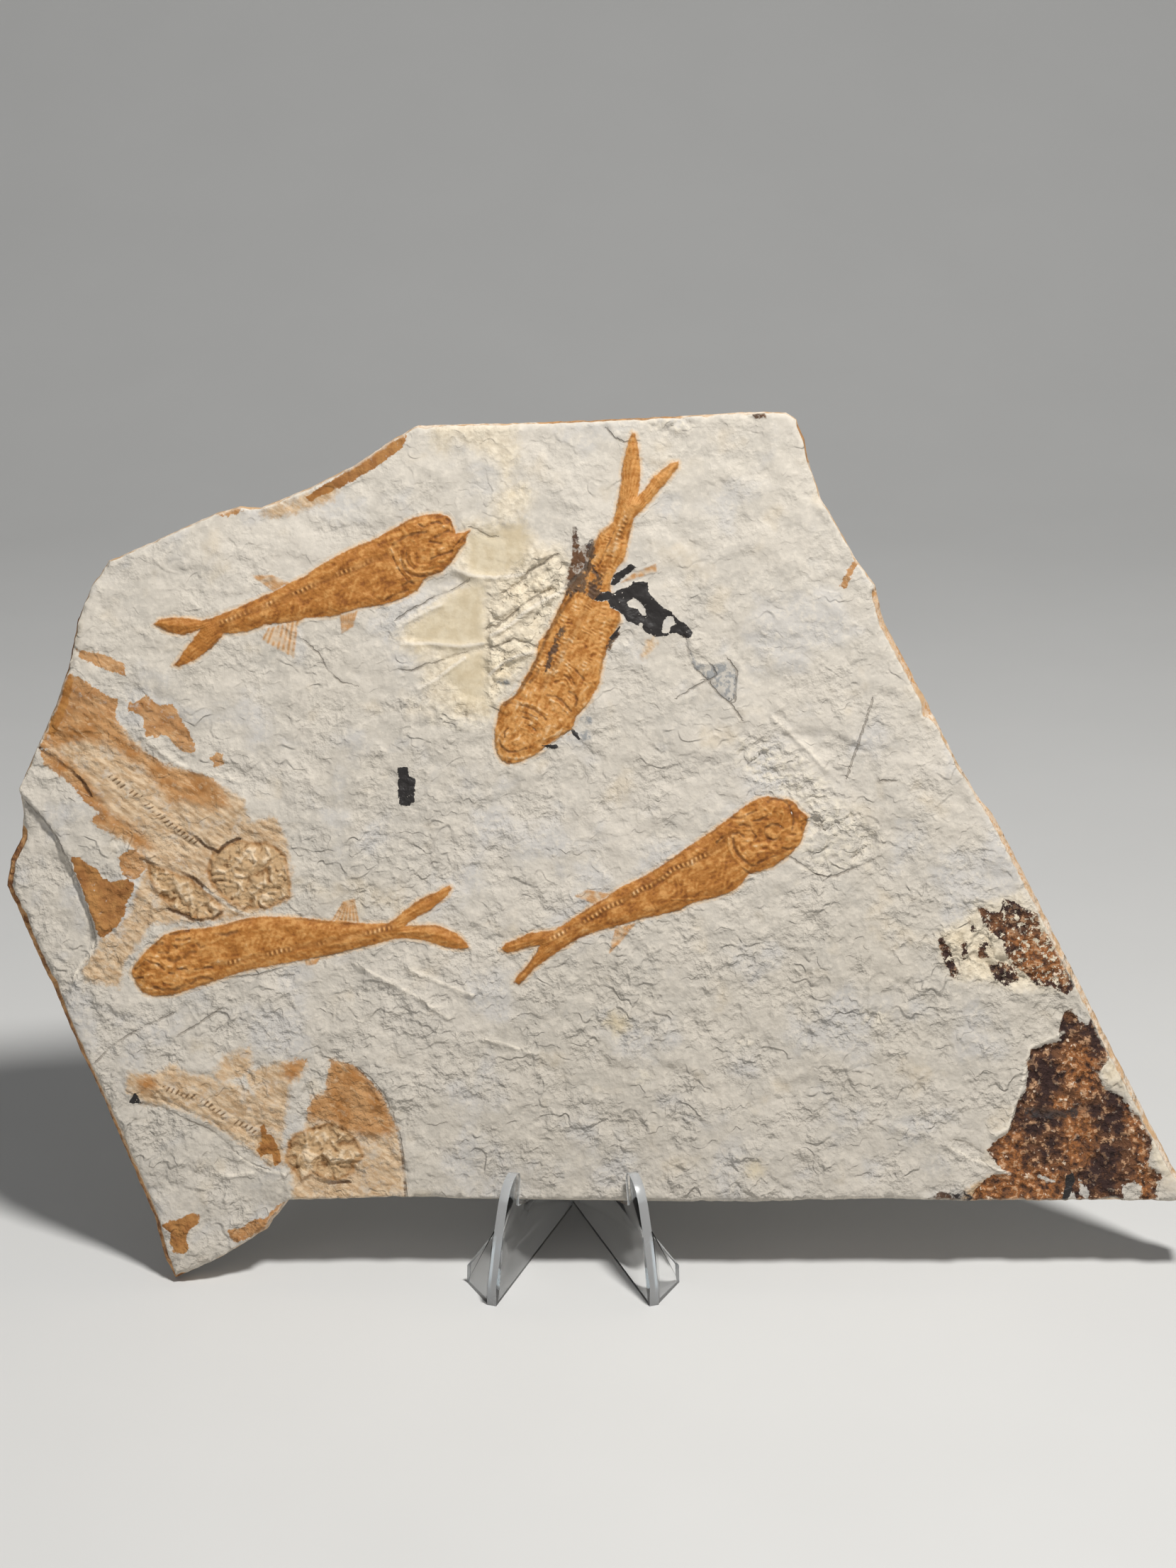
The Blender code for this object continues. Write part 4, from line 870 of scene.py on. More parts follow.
# Each fish has an outline, a backbone that starts at the head, and an eye. Then come how well its
# vertebrae show, and how wrinkled, light and mottled its skin is. The grooves and bones of its head are
# lines, by their width in mm, and each fin has two corners at its root and two at its tip.
FISH = {
    "upper_left": {
        "outline": [(-85.7, 119.2), (-84.6, 120.2), (-81.8, 120.6), (-78.6, 120.5), (-76, 120),
            (-73.8, 120.5), (-71.4, 121.5), (-68.9, 122.4), (-65.1, 124.2), (-61.5, 125.7), (-58.1, 127.6),
            (-54.8, 129), (-52.3, 130.9), (-49.6, 132.5), (-46.4, 134.1), (-43.9, 135.4), (-41.3, 136.2),
            (-38, 138), (-34.3, 140.1), (-32.5, 141), (-30.7, 141.4), (-28.8, 141.7), (-27.1, 141.7),
            (-25.8, 141.3), (-24.9, 140.7), (-24.4, 139.3), (-23.9, 137.8), (-22.3, 138), (-20.9, 138.4),
            (-21.8, 137), (-21.9, 135.8), (-22.9, 134.8), (-23.5, 133.8), (-24.8, 131.9), (-26, 130.7),
            (-27.1, 129.7), (-29.3, 129), (-30.5, 128.3), (-31.9, 126.1), (-33.7, 125.1), (-35.6, 124.2),
            (-39.2, 123.1), (-44, 122.4), (-48.9, 120.9), (-52.4, 120.6), (-54.8, 120.5), (-56.1, 119.9),
            (-59.5, 119.5), (-62.7, 119.2), (-64.7, 118.4), (-66.6, 117.7), (-69.2, 117.4), (-71.4, 117.3),
            (-71.8, 116.6), (-73.1, 115.3), (-74.7, 113.7), (-76.6, 112.4), (-78.7, 111.3), (-80.7, 110.5),
            (-81.7, 110.8), (-80.4, 112.5), (-79.2, 114.2), (-77.8, 116), (-76.2, 118.2), (-78.1, 117.4),
            (-80.2, 117), (-83, 117.7)],
        "spine": [(-22.9, 137.1), (-26.5, 136.4), (-30.2, 135.2), (-35.2, 134.1), (-40.3, 132.5),
            (-46.4, 130), (-51.9, 127.7), (-54.8, 126.3), (-59.2, 124.4), (-63.5, 122.8), (-67.9, 121.2),
            (-72, 119.3), (-74.6, 118.4)],
        "eye": (-26.2, 138.8), "beads": 0.5, "wrinkles": 0.2, "lift": 0, "mottle": 1,
        "grooves": {
            0.4: [[(-33.9, 134.4), (-34.1, 132.6), (-33.5, 131.3), (-32.5, 130.6)], [(-24.4, 134.9),
                (-23.5, 135.8), (-22.6, 137)], [(-36.7, 132.9), (-36.1, 131.3), (-35.1, 129.7),
                (-33.8, 128.1)], [(-31.6, 139.6), (-30.4, 139), (-29.6, 139.3)]],
            0.6: [[(-25.8, 140.7), (-24.9, 140.1), (-24.7, 139.1), (-24.7, 138.1)], [(-29, 139.8),
                (-27.8, 140.1), (-26.7, 139.7)], [(-29.3, 136.1), (-28.1, 135.9), (-27, 135.7)],
                [(-29, 132.5), (-27.6, 133.2), (-26.1, 133.6), (-24.7, 134.2)], [(-22.6, 137.1),
                (-22.1, 136.1), (-21.3, 137.1), (-20.7, 138.3)], [(-38.2, 124.2), (-36, 125.4),
                (-33.7, 126.3)]],
            0.7: [[(-35.1, 133.2), (-34.8, 131.3), (-34.1, 130), (-32.8, 129.2), (-31, 128.9),
                (-29.3, 129.3), (-28, 129.6), (-27, 130)], [(-37, 135.2), (-35.7, 136.2), (-33.9, 137.2),
                (-31.9, 137.8), (-29.9, 138)], [(-28.1, 137), (-26.7, 137.7), (-25.4, 138.3)],
                [(-34.8, 127.1), (-33.5, 127.9), (-32.6, 127.6)]],
        },
        "bones": {
            0.4: [[(-35.5, 134.1), (-35.1, 131.9), (-34.2, 129.9), (-32.8, 128.3)]],
            0.6: [[(-34.4, 132.3), (-33.7, 130.6), (-31.9, 129.7), (-29.6, 129.9), (-27.4, 130.5)],
                [(-33.2, 133.5), (-32.8, 131.9), (-31.6, 131.2), (-29.6, 131.3)], [(-28, 132),
                (-26.5, 132.3)], [(-24.4, 136.7), (-23.9, 135.7)], [(-37.1, 134.6), (-36.5, 133.3)]],
            0.7: [[(-26.5, 139.3), (-25.7, 139)], [(-32.3, 139.3), (-30.7, 139.8), (-28.7, 140.6)]],
            0.9: [[(-30.2, 134.9), (-28.4, 134.5), (-26.1, 134.8)]],
        },
        "fins": [[(-62.4, 118.4), (-56.1, 119.9), (-57.1, 112.4), (-63.7, 116.1)], [(-61.2, 126),
            (-58, 127.7), (-61.5, 129.2), (-65.8, 129.2)], [(-47.6, 121.1), (-44.1, 121.9), (-45, 118.7),
            (-47.3, 117.4)]],
    },
    "upper_middle": {
        "outline": [(12.1, 158.3), (11.5, 157.1), (11.1, 155.6), (10.5, 153.3), (10.1, 151), (9.7, 146.8),
            (9.2, 144.5), (8.8, 142.2), (8.2, 140.1), (7.2, 139), (5.7, 137.8), (4.6, 135.9), (3.7, 134.2),
            (2.9, 130.3), (1, 128.7), (-0.9, 126.8), (-2.2, 123.9), (-3.5, 121.1), (-4.8, 118.6),
            (-5.8, 117), (-6.9, 115.8), (-7.6, 112.4), (-8.8, 110), (-9.9, 108.3), (-11.9, 104.7),
            (-13.3, 103.8), (-14.4, 103.2), (-15.1, 101.9), (-15.4, 100.2), (-16, 97.6), (-16, 95.2),
            (-15.6, 93.1), (-14.6, 91.3), (-13, 90.6), (-10.5, 91.2), (-7.2, 92.8), (-5.6, 94.2),
            (-2.4, 96.4), (-0.3, 97.7), (0.7, 100.2), (2, 101.8), (3.4, 103.4), (5.5, 107.3), (5.8, 109.8),
            (6.3, 112.1), (6.8, 113.8), (8.1, 116.9), (9.7, 119.9), (9.5, 122.2), (8.4, 124.2),
            (7.6, 126.3), (7.8, 128.3), (8.9, 130.5), (10.4, 132.3), (11.1, 135.2), (11.7, 138),
            (12.4, 140.6), (13.4, 141.9), (14.6, 142.9), (17, 145.8), (18.3, 147.3), (19.6, 148.8),
            (21.4, 151.1), (21.5, 152.4), (20.2, 152.2), (18.8, 151.2), (16.6, 149.4), (14.6, 146.8),
            (13.1, 145.2), (13.6, 147.3), (13.8, 149.7), (13.7, 151.8), (13.4, 154.3), (13.1, 156.6),
            (12.7, 158)],
        "spine": [(-14, 92.3), (-12.2, 95.8), (-9.2, 100.8), (-5.3, 107.4), (-1.6, 114.4), (1.7, 120.5),
            (4.3, 125.4), (6.3, 130), (8.1, 134.4), (9.9, 138.8), (11.4, 141.9), (12.5, 144.3)],
        "eye": (-12.4, 96.1), "beads": 0, "wrinkles": 1, "lift": 0.2, "mottle": 1.25,
        "grooves": {
            0.4: [[(-10.5, 100.3), (-8.8, 99.7), (-7.5, 98.7)], [(-9.8, 99), (-8.5, 98.3), (-7.6, 97.4)],
                [(-10.9, 101.5), (-9.1, 100.9), (-7.3, 100)], [(9.1, 139.6), (7.9, 137), (6.6, 134.1),
                (5.5, 131.5)], [(-14, 96.1), (-14.1, 97.1), (-13.3, 97.9)]],
            0.6: [[(-13.8, 103.4), (-12, 102.9), (-9.9, 102.6), (-8.2, 101.9), (-6.7, 100.9), (-5.6, 99.9)],
                [(-5.3, 104.7), (-3.4, 104.4), (-2.1, 103.5), (-1.1, 102.2), (-0.3, 101.3)], [(-0.2, 107.6),
                (0.7, 106.6)], [(-6, 116.6), (-5, 118.2), (-3.7, 120.5), (-2.4, 123.2), (-0.9, 126.3)],
                [(-3.7, 107.4), (-3, 107.6)], [(-1.8, 108.7), (-0.6, 108.2)], [(0.5, 109.9), (2, 108.2)],
                [(-15.2, 95.5), (-14.6, 94.1), (-13.1, 93.1), (-11.4, 93.2), (-9.6, 93.8)], [(-13.3, 91.2),
                (-12.5, 90.3)]],
            0.7: [[(-14.1, 103.2), (-12.8, 103.4)], [(-6.7, 93.2), (-5.3, 94.2), (-3.2, 95.1), (-1.5, 96.7),
                (-0.2, 97.6)], [(-0.8, 105.5), (0.4, 104.8), (0.8, 103.7), (0.5, 102.4)], [(4.3, 130),
                (5.8, 129.2), (5, 127.4), (3.7, 126.5)]],
            0.9: [[(-7, 109.8), (-7.9, 108.3), (-8.9, 107.4)]],
            # The widest groove runs along the left edge of the body. Its dark line is partly the stone's
            # own dark and partly painted shade on the side away from the lamp.
            1: [[(0.5, 126), (-1.5, 123.4), (-3.5, 119.9), (-5.6, 116.1), (-7, 112.7), (-8.8, 109.2),
                (-10.8, 105.7), (-14, 102.8)]],
        },
        "bones": {
            0.6: [[(-12, 103.7), (-9.6, 103.2), (-7.5, 102.4), (-5.4, 100.8)], [(-8.9, 100.9), (-7.6, 99.9),
                (-6.6, 98.9)], [(-4.7, 103.7), (-3, 103.2), (-1.8, 101.9), (-0.8, 100.8)], [(-5.7, 95.8),
                (-3.5, 96.7), (-2.1, 98)], [(-10.5, 98.1), (-9.1, 97.6), (-8.2, 96.7)]],
            0.7: [[(-12.5, 95.4), (-11.4, 95.7), (-10.8, 96.5)], [(-13.1, 92), (-11.1, 91.7), (-8.9, 92.3)],
                [(-5.3, 109.8), (-4.1, 108.9), (-3.2, 109.8)]],
        },
        "fins": [[(9.8, 127.7), (12.1, 129.4), (16.9, 131.5), (17, 130)], [(5.5, 132.9), (7.8, 139.3),
            (6, 139), (4.3, 136.1)]],
    },
    "lower_left": {
        "outline": [(-90.8, 47.7), (-90.1, 49.2), (-89.2, 50.5), (-88.1, 51.8), (-86.9, 53), (-85.4, 54.3),
            (-84, 55.5), (-82.2, 56.2), (-80.4, 56.6), (-75.6, 56.9), (-71.9, 57.6), (-68.1, 58.7),
            (-64.3, 59.3), (-60.6, 59.3), (-55.1, 59), (-51.6, 58.5), (-46.5, 58.2), (-41.3, 57.8),
            (-38.2, 57.9), (-36.5, 58.8), (-34.6, 60.6), (-31.4, 62.8), (-28.3, 64.2), (-25.4, 65.7),
            (-24.9, 65.1), (-25.7, 63.6), (-27, 62.5), (-29.6, 60.4), (-31.8, 59.3), (-33.7, 58.1),
            (-34.3, 57.4), (-32.4, 57.5), (-29.6, 57.6), (-28, 57.5), (-26.4, 56.9), (-23.8, 55.7),
            (-22.1, 54.1), (-21.3, 52.8), (-23.1, 52.5), (-25.7, 52.8), (-28.3, 53.6), (-30.9, 54.4),
            (-33.4, 54.7), (-36.6, 54.7), (-40, 53.8), (-43.9, 52.8), (-49.2, 51.5), (-54.3, 50.5),
            (-61.8, 49.2), (-68.1, 47.9), (-73.2, 46.1), (-78.5, 44.3), (-82, 43.2), (-84.6, 42.9),
            (-86.5, 42.9), (-88.5, 43.6), (-89.7, 45.4)],
        "spine": [(-89.8, 47.4), (-85, 47.9), (-79.6, 48.4), (-74.1, 49.3), (-69.7, 50), (-65.3, 50.9),
            (-58.8, 52.5), (-52.2, 53.7), (-44.9, 55.5), (-39.1, 56.6), (-34.4, 57.4)],
        "eye": (-81.9, 50.3), "beads": 0.05, "wrinkles": 0.2, "lift": 0.1, "mottle": 1,
        "grooves": {
            0.6: [[(-85.1, 51.9), (-84.1, 51.8), (-83.1, 51.9)], [(-87.9, 50.5), (-86.6, 49.8),
                (-85.2, 49.5), (-84, 48.4)], [(-81.4, 48.4), (-80.2, 48.6), (-79.2, 48.4)], [(-83, 47.7),
                (-81.8, 47.6)], [(-90, 48.4), (-88.9, 49.2), (-87.9, 50.2)], [(-81.5, 54.6), (-80, 54.4),
                (-78.7, 54.7)], [(-77.3, 53.7), (-76.5, 52.8), (-75.7, 53.1)], [(-77.6, 48.4),
                (-75.8, 48.7), (-74.1, 48.9)], [(-81.9, 53.3), (-81.3, 52.8)]],
            0.7: [[(-90.1, 46.5), (-88.4, 46.7)], [(-79.5, 46.2), (-78.5, 45.4), (-77.6, 46)],
                [(-82.8, 55.6), (-81, 56), (-79, 56.3)]],
            0.9: [[(-86.6, 54), (-85.6, 53.6), (-84.4, 53.7)], [(-79.8, 50.9), (-78.7, 51.8),
                (-77.7, 52.1)], [(-77.4, 46.4), (-75.8, 46.7), (-74.2, 46.4)], [(-86.1, 44.8), (-84, 44.2),
                (-81.7, 44.2), (-79.9, 45.1)]],
            1: [[(-83, 50.6), (-81.8, 50), (-80.8, 50.8)], [(-73.2, 55.7), (-71.1, 55.6), (-69.1, 56.2)]],
        },
        "bones": {
            0.6: [[(-84.6, 50.2), (-83.4, 49.2), (-82.2, 48.9)], [(-86.7, 51.2), (-85, 51.1)],
                [(-81.4, 49.6), (-80.8, 48.6), (-79.5, 49.3)], [(-84, 45.8), (-82, 45.5)], [(-87.8, 47.3),
                (-86, 47.4)], [(-86.3, 50.2), (-84.9, 49.9)]],
            0.7: [[(-88, 52.5), (-88.9, 50.9), (-90, 49.2)], [(-83.1, 51.9), (-81.9, 51.9), (-80.9, 52.2)],
                [(-75.4, 49.2), (-74.5, 49.3)], [(-78.5, 46.7), (-76.7, 47.4), (-74.5, 47.4)],
                [(-88.2, 44.5), (-86.6, 44.5)]],
            0.9: [[(-82.1, 53.8), (-80.5, 53.7), (-78.7, 54.3)]],
        },
        "fins": [[(-49.6, 58.4), (-43.9, 58.1), (-44.9, 62.9), (-47.2, 62.3)], [(-55.1, 50.3),
            (-51.9, 50.9), (-52.8, 49.5), (-54.8, 49.2)]],
    },
    "lower_right": {
        "outline": [(-14.8, 52.5), (-13.9, 53.8), (-11.4, 54.7), (-8.8, 55.9), (-6.5, 56.2), (-3.8, 56.5),
            (-1.8, 57.6), (0.1, 59), (2.1, 60.3), (4.3, 61.9), (6.8, 63.2), (9.5, 65.2), (13.9, 67.3),
            (16.5, 68.7), (20.6, 71.5), (23.9, 73.8), (27.9, 76.5), (31.6, 79.2), (34, 81.1), (36.3, 82.7),
            (38, 83.6), (39.8, 84), (43, 83.5), (44.4, 83.3), (45.6, 82.6), (46.5, 81.3), (47.3, 80.7),
            (48.2, 79.7), (47.8, 77.8), (47.4, 76.5), (46.6, 74.3), (45.2, 72.8), (44, 71.5), (41.1, 69.5),
            (37.5, 68.3), (36, 68), (35, 66.4), (33.4, 64.9), (31.4, 63.9), (29.1, 63.2), (24.3, 62),
            (21.8, 60.6), (17, 59.4), (13.9, 58.8), (9.6, 57.4), (5, 56.3), (1.7, 55), (-0.4, 53.8),
            (-2.1, 52.7), (-3.4, 51.9), (-4.7, 50.9), (-7.1, 49.2), (-8.1, 48.3), (-9, 47.3), (-10, 46.1),
            (-11.1, 45.2), (-12.3, 45.7), (-11.4, 47.1), (-10.4, 48.1), (-9.4, 49.3), (-7.6, 51.8),
            (-6.8, 53.3), (-8.9, 53.1), (-11.4, 52.2), (-13.5, 51.8)],
        "spine": [(46.8, 78.9), (42.4, 77.8), (37.5, 77.5), (33.4, 76.5), (30.2, 73.8), (26.9, 71.7),
            (22.9, 70.1), (20, 68.6), (18.1, 66.8), (14.5, 65.1), (9.5, 62.2), (6.8, 61.2), (2.9, 58.5),
            (-0.1, 56.9), (-3.4, 55.3), (-6.5, 53.7)],
        "eye": (41.2, 76.8), "beads": 0.9, "wrinkles": 0.1, "lift": 0, "mottle": 1.15,
        "grooves": {
            0.4: [[(36.6, 77.1), (37.5, 75.7), (37, 74.9)]],
            0.6: [[(35, 69), (36, 68.3), (37.2, 67.7), (38.1, 67.6), (39.1, 68.3), (41, 68.5)],
                [(39.4, 77.5), (39.2, 76.6), (39.9, 75.4), (41.1, 75), (42.3, 75.6)], [(36.9, 78.9),
                (38.3, 79.2), (39.8, 80)], [(35.7, 80.3), (37.5, 81)], [(34, 78.1), (35, 78.2),
                (36.2, 77.8)], [(44.2, 76.2), (45.6, 76.2)], [(46.8, 77.5), (47.2, 76.3)], [(37.8, 70.3),
                (39.2, 70.9), (41, 71.7), (42.6, 72.1)], [(45, 80.4), (45.2, 78.7), (44.9, 77.2)]],
            0.7: [[(32.8, 75.2), (33.1, 73.4), (33.8, 72), (35.1, 70.8), (36.3, 69.8), (37.6, 69.6)],
                [(39.9, 82.9), (41.2, 83.5), (42.4, 83.5), (43.6, 82.9), (44.4, 81.9), (44.9, 80.3)],
                [(39.5, 77.6), (40.7, 78.4), (42, 78.2), (43, 77.5)], [(32.5, 79.7), (34, 79.5),
                (35.1, 79.8)], [(29.5, 74.6), (30.8, 75.7), (32.4, 76.3), (34, 76.5), (35, 75.7)],
                [(42.9, 73.4), (44.2, 73.1), (45.5, 73.4)], [(46.8, 80), (47.6, 79.4)]],
        },
        "bones": {
            0.4: [[(20.3, 62.9), (24.3, 62.9), (28.2, 63.3)]],
            0.6: [[(33.8, 73.8), (34.4, 72.4), (35.3, 71.4)], [(32.8, 77.3), (34.6, 77.1), (36.2, 77.2)],
                [(39.3, 81.4), (40.5, 80.5), (41.1, 81.9)], [(32.9, 78.9), (34.8, 78.9)], [(37.2, 72.4),
                (39.2, 72.8)]],
            0.7: [[(31.8, 75.3), (32.1, 73.3), (33, 71.5), (34.4, 70.1), (35.7, 68.7)], [(40.1, 76.5),
                (40.8, 77.1)], [(42, 76.2), (42.8, 76.9)], [(42.7, 81.9), (43.1, 80.1), (42.7, 78.7)]],
            0.9: [[(33.5, 74.9), (35.1, 75.2), (36.7, 74.9)]],
            1.2: [[(37.2, 73.8), (39.5, 74.3), (41.5, 73)]],
        },
        "fins": [[(8.7, 56.8), (12.8, 57.9), (10.1, 54.4), (7.5, 51.8)], [(4.3, 61.9), (7.8, 63.8),
            (3.1, 64.8), (0.5, 63.5)]],
    },
}
# Stretches of the edge that are stained or wide: how brown, width in mm and line. The rest of the edge
# is a thin pale break.
STAINED = {
    "left": (0.8, 1.2, [(-116.2, 64.1), (-114.2, 59.7), (-109.1, 46.5), (-101.9, 29), (-93.3, 8.4),
        (-81.9, -16.1)]),
    "left_block": (1, 1.4, [(-114.1, 75.7), (-116.2, 65.5)]),
    "left_upper": (0.8, 0.6, [(-100.5, 121.1), (-103.3, 112.1), (-106.3, 108.4)]),
    "right_upper": (0.45, 1.4, [(62.1, 124.8), (67, 113.5), (72.5, 102.2)]),
    "right_middle": (0.3, 0.7, [(74.3, 99.7), (84.5, 82.3)]),
    "right_lower": (0.4, 1.3, [(86, 80.1), (90.7, 72.8), (96, 62.9)]),
    "corner": (0.25, 1.3, [(97.8, 59.7), (109.6, 36.3), (116.4, 21.6), (123.7, 6.9)]),
    "right_top": (0.6, 0.6, [(46.2, 159.2), (48, 154)]),
    "top": (0.6, 0.5, [(-5.5, 161.3), (20.5, 161.8)]),
}
# Levels down the broken edge: depth below the face and how far inside the widest outline.
EDGE_LEVELS = [
    (0.0, 1.0), (0.45, 0.86), (1.0, 0.62), (1.7, 0.3), (2.6, 0.0), (3.6, 0.05), (4.8, 0.18),
    (6.0, 0.42), (6.9, 0.8),
]


def face(u, v):
    """Height of the face in mm and the marks on it."""
    marks = {}
    height = bare_stone(u, v)
    for feature in (scars, rust, black, old_fish):
        height = feature(u, v, height, marks)
    marks["fish"] = depth_in(u, v, [fish["outline"] for fish in FISH.values()])
    marks["fin"] = depth_in(u, v, [fin for fish in FISH.values() for fin in fish["fins"]])
    # The split goes round each fish, so the stone is smoother close to it.
    calm = smooth((marks["fish"] + 1.8) / 1.4)
    height = height * (1.0 - 0.55 * calm)
    height += FISH_RISE * smooth((marks["fish"] + 0.4) / 2.6) + 0.1 * smooth(marks["fish"] / 0.4 + 0.5)
    held = smooth((EASEL_HOLDS[0] - np.abs(u)) / 6.0) * smooth((EASEL_HOLDS[1] - v) / 5.0)
    return height - held * (height.clip(0.0, None) + 0.1), marks


def crowding(u, v):
    """Which of the pitches each place needs, by its number."""
    marks = face(u, v)[1]
    marked = [marks[name] for name in MARKED]
    marked += [marks["fish"] - 0.8, marks["fin"] - 0.8, 0.4 - marks["crack"], 0.4 - marks["ridge"]]
    busy = (np.max(marked, axis=0) > -0.9) & (marks["fish"] < 1.2)
    bony = (marks["skull"] > -0.3) | (gap_to_lines(u, v, SPINES.values())[0] < 1.2)
    return np.where(busy & bony, 2, np.where(busy, 1, 0))


def resampled(line, step):
    out = []
    for (u0, v0), (u1, v1) in zip(line, line[1:]):
        count = max(1, round(math.hypot(u1 - u0, v1 - v0) / step))
        out.extend((u0 + (u1 - u0) * i / count, v0 + (v1 - v0) * i / count) for i in range(count))
    return np.array(out)


def outward(ring, blur=4):
    """Directions out of a clockwise ring, eased round its corners."""
    ahead = np.roll(ring, -1, axis=0) - np.roll(ring, 1, axis=0)
    ahead /= np.linalg.norm(ahead, axis=1)[:, None]
    out = np.stack([-ahead[:, 1], ahead[:, 0]], axis=1)
    return np.mean([np.roll(out, shift, axis=0) for shift in range(-blur, blur + 1)], axis=0)


def hex_grid(low, high, pitch):
    """Places on a grid of even triangles, each one's row, and how many are in a row."""
    rows, columns = np.arange(low[1], high[1], pitch * HEX_ROW), np.arange(low[0], high[0], pitch)
    row, u = np.meshgrid(np.arange(len(rows)), columns, indexing="ij")
    return (u + (row % 2) * pitch / 2).ravel(), rows[row].ravel(), row, len(columns)


def scattered(pitch, seed):
    """Places all over the face, a little off an even grid."""
    u, v, _, _ = hex_grid(FACE_LOW, FACE_HIGH, pitch)
    stray = 0.2 * pitch
    return np.stack([u, v], axis=-1) + np.random.default_rng(seed).uniform(-stray, stray, (len(u), 2))


def well_inside(places, ring, gap):
    """The places inside a ring and further than the gap from it."""
    ring = [tuple(p) for p in ring]
    places = places[held_in(*places.T, ring)]
    return places[gap_to(*places.T, ring + ring[:1]) > gap]


def filled(places, edges):
    """Triangles over the part of the places that the edges go round."""
    points = [Vector(p) for p in places]
    _, _, triangles, sources, _, _ = delaunay_2d_cdt(points, edges, [], 1, 1e-5)
    number = np.array([source[0] for source in sources])
    return number[np.array([t for t in triangles if len(t) == 3])]


def sheet(count, places):
    """Triangles over places of which the first few are the ring round the rest."""
    return filled(places, [(i, (i + 1) % count) for i in range(count)])


def piece(name, points, triangles, marks):
    """A smooth-shaded mesh object, with each mark stored on its points."""
    mesh = bpy.data.meshes.new(name)
    mesh.from_pydata(points.tolist(), [], triangles.tolist())
    mesh.shade_smooth()
    for mark_name, values in marks.items():
        layer = mesh.attributes.new(mark_name, "FLOAT", "POINT")
        layer.data.foreach_set("value", np.asarray(values, np.float32))
    made = bpy.data.objects.new(name, mesh)
    bpy.context.scene.collection.objects.link(made)
    return made


def edge_kind(u, v):
    """How brown the edge is at each place, and how wide."""
    brown, wide = np.zeros(len(u)), np.full(len(u), 0.45)
    for share, width, line in STAINED.values():
        felt = smooth(1.6 - gap_to_lines(u, v, [line])[0] / 2.0)
        brown, wide = np.maximum(brown, share * felt), np.maximum(wide, width * felt)
    return brown, wide


def thinned(v):
    """How thin the pointed piece at the lower left is, from 0 at its root to 1 at its tip."""
    return smooth((-4.0 - v) / 9.0)


def edge_rings():
    """Rings down the broken edge, how deep and how far down each lies, and how chipped the edge is."""
    ring = resampled(OUTLINE + OUTLINE[:1], EDGE_PITCH)
    out = outward(ring)
    run, zero = np.arange(len(ring)) * EDGE_PITCH, np.zeros(len(ring))
    # The lower edge is trimmed almost square and is whole where it rests in the easel. The sides are
    # bevelled by breaking.
    square = smooth((-out[:, 1] - 0.75) / 0.2)
    resting = smooth((27.0 - np.abs(ring[:, 0])) / 3.0) * smooth((5.0 - ring[:, 1]) / 2.0)
    free = 1.0 - resting
    chips = swells(run, zero, (0.28, 7.0, 51), (0.2, 2.6, 52)) * free
    bites = 1.3 * smooth((swell(run, zero, 11.0, 53) - 0.45) / 0.5) * free
    bevel = edge_kind(*ring.T)[1] * (1.0 - 0.5 * resting) * (1.0 - 0.5 * square)
    levels, depths, drops = [], [], []
    for depth, inset in EDGE_LEVELS:
        bedding = 0.3 * swell(run / 6.0, zero + depth, 0.9, 54) + 0.16 * swell(run, zero + depth, 1.6, 55)
        rough = bedding * free if depth else zero
        inwards = inset * bevel + np.abs(chips) * (0.3 + inset) + bites * inset + np.abs(rough) * 0.8
        levels.append(ring - out * inwards[:, None])
        depths.append(zero + depth + 0.35 * bites * smooth(depth / 2.0))
        drops.append(depths[-1] - 2.4 * thinned(ring[:, 1]) * smooth((depths[-1] - 3.0) / 3.5))
    return levels, depths, drops, chips


def face_places(front):
    """The front ring, and the places inside it at the pitch that each part needs."""
    places = [front]
    for wanted, pitch in enumerate(PITCHES):
        grid = scattered(pitch, 61 + wanted)
        if wanted == 2:
            grid = grid[np.unique(np.concatenate([near(*grid.T, line) for line in BONY]))]
        grid = well_inside(grid, front, 0.62 * max(pitch, 0.45))
        places.append(grid[crowding(*grid.T) == wanted])
    return np.concatenate(places)


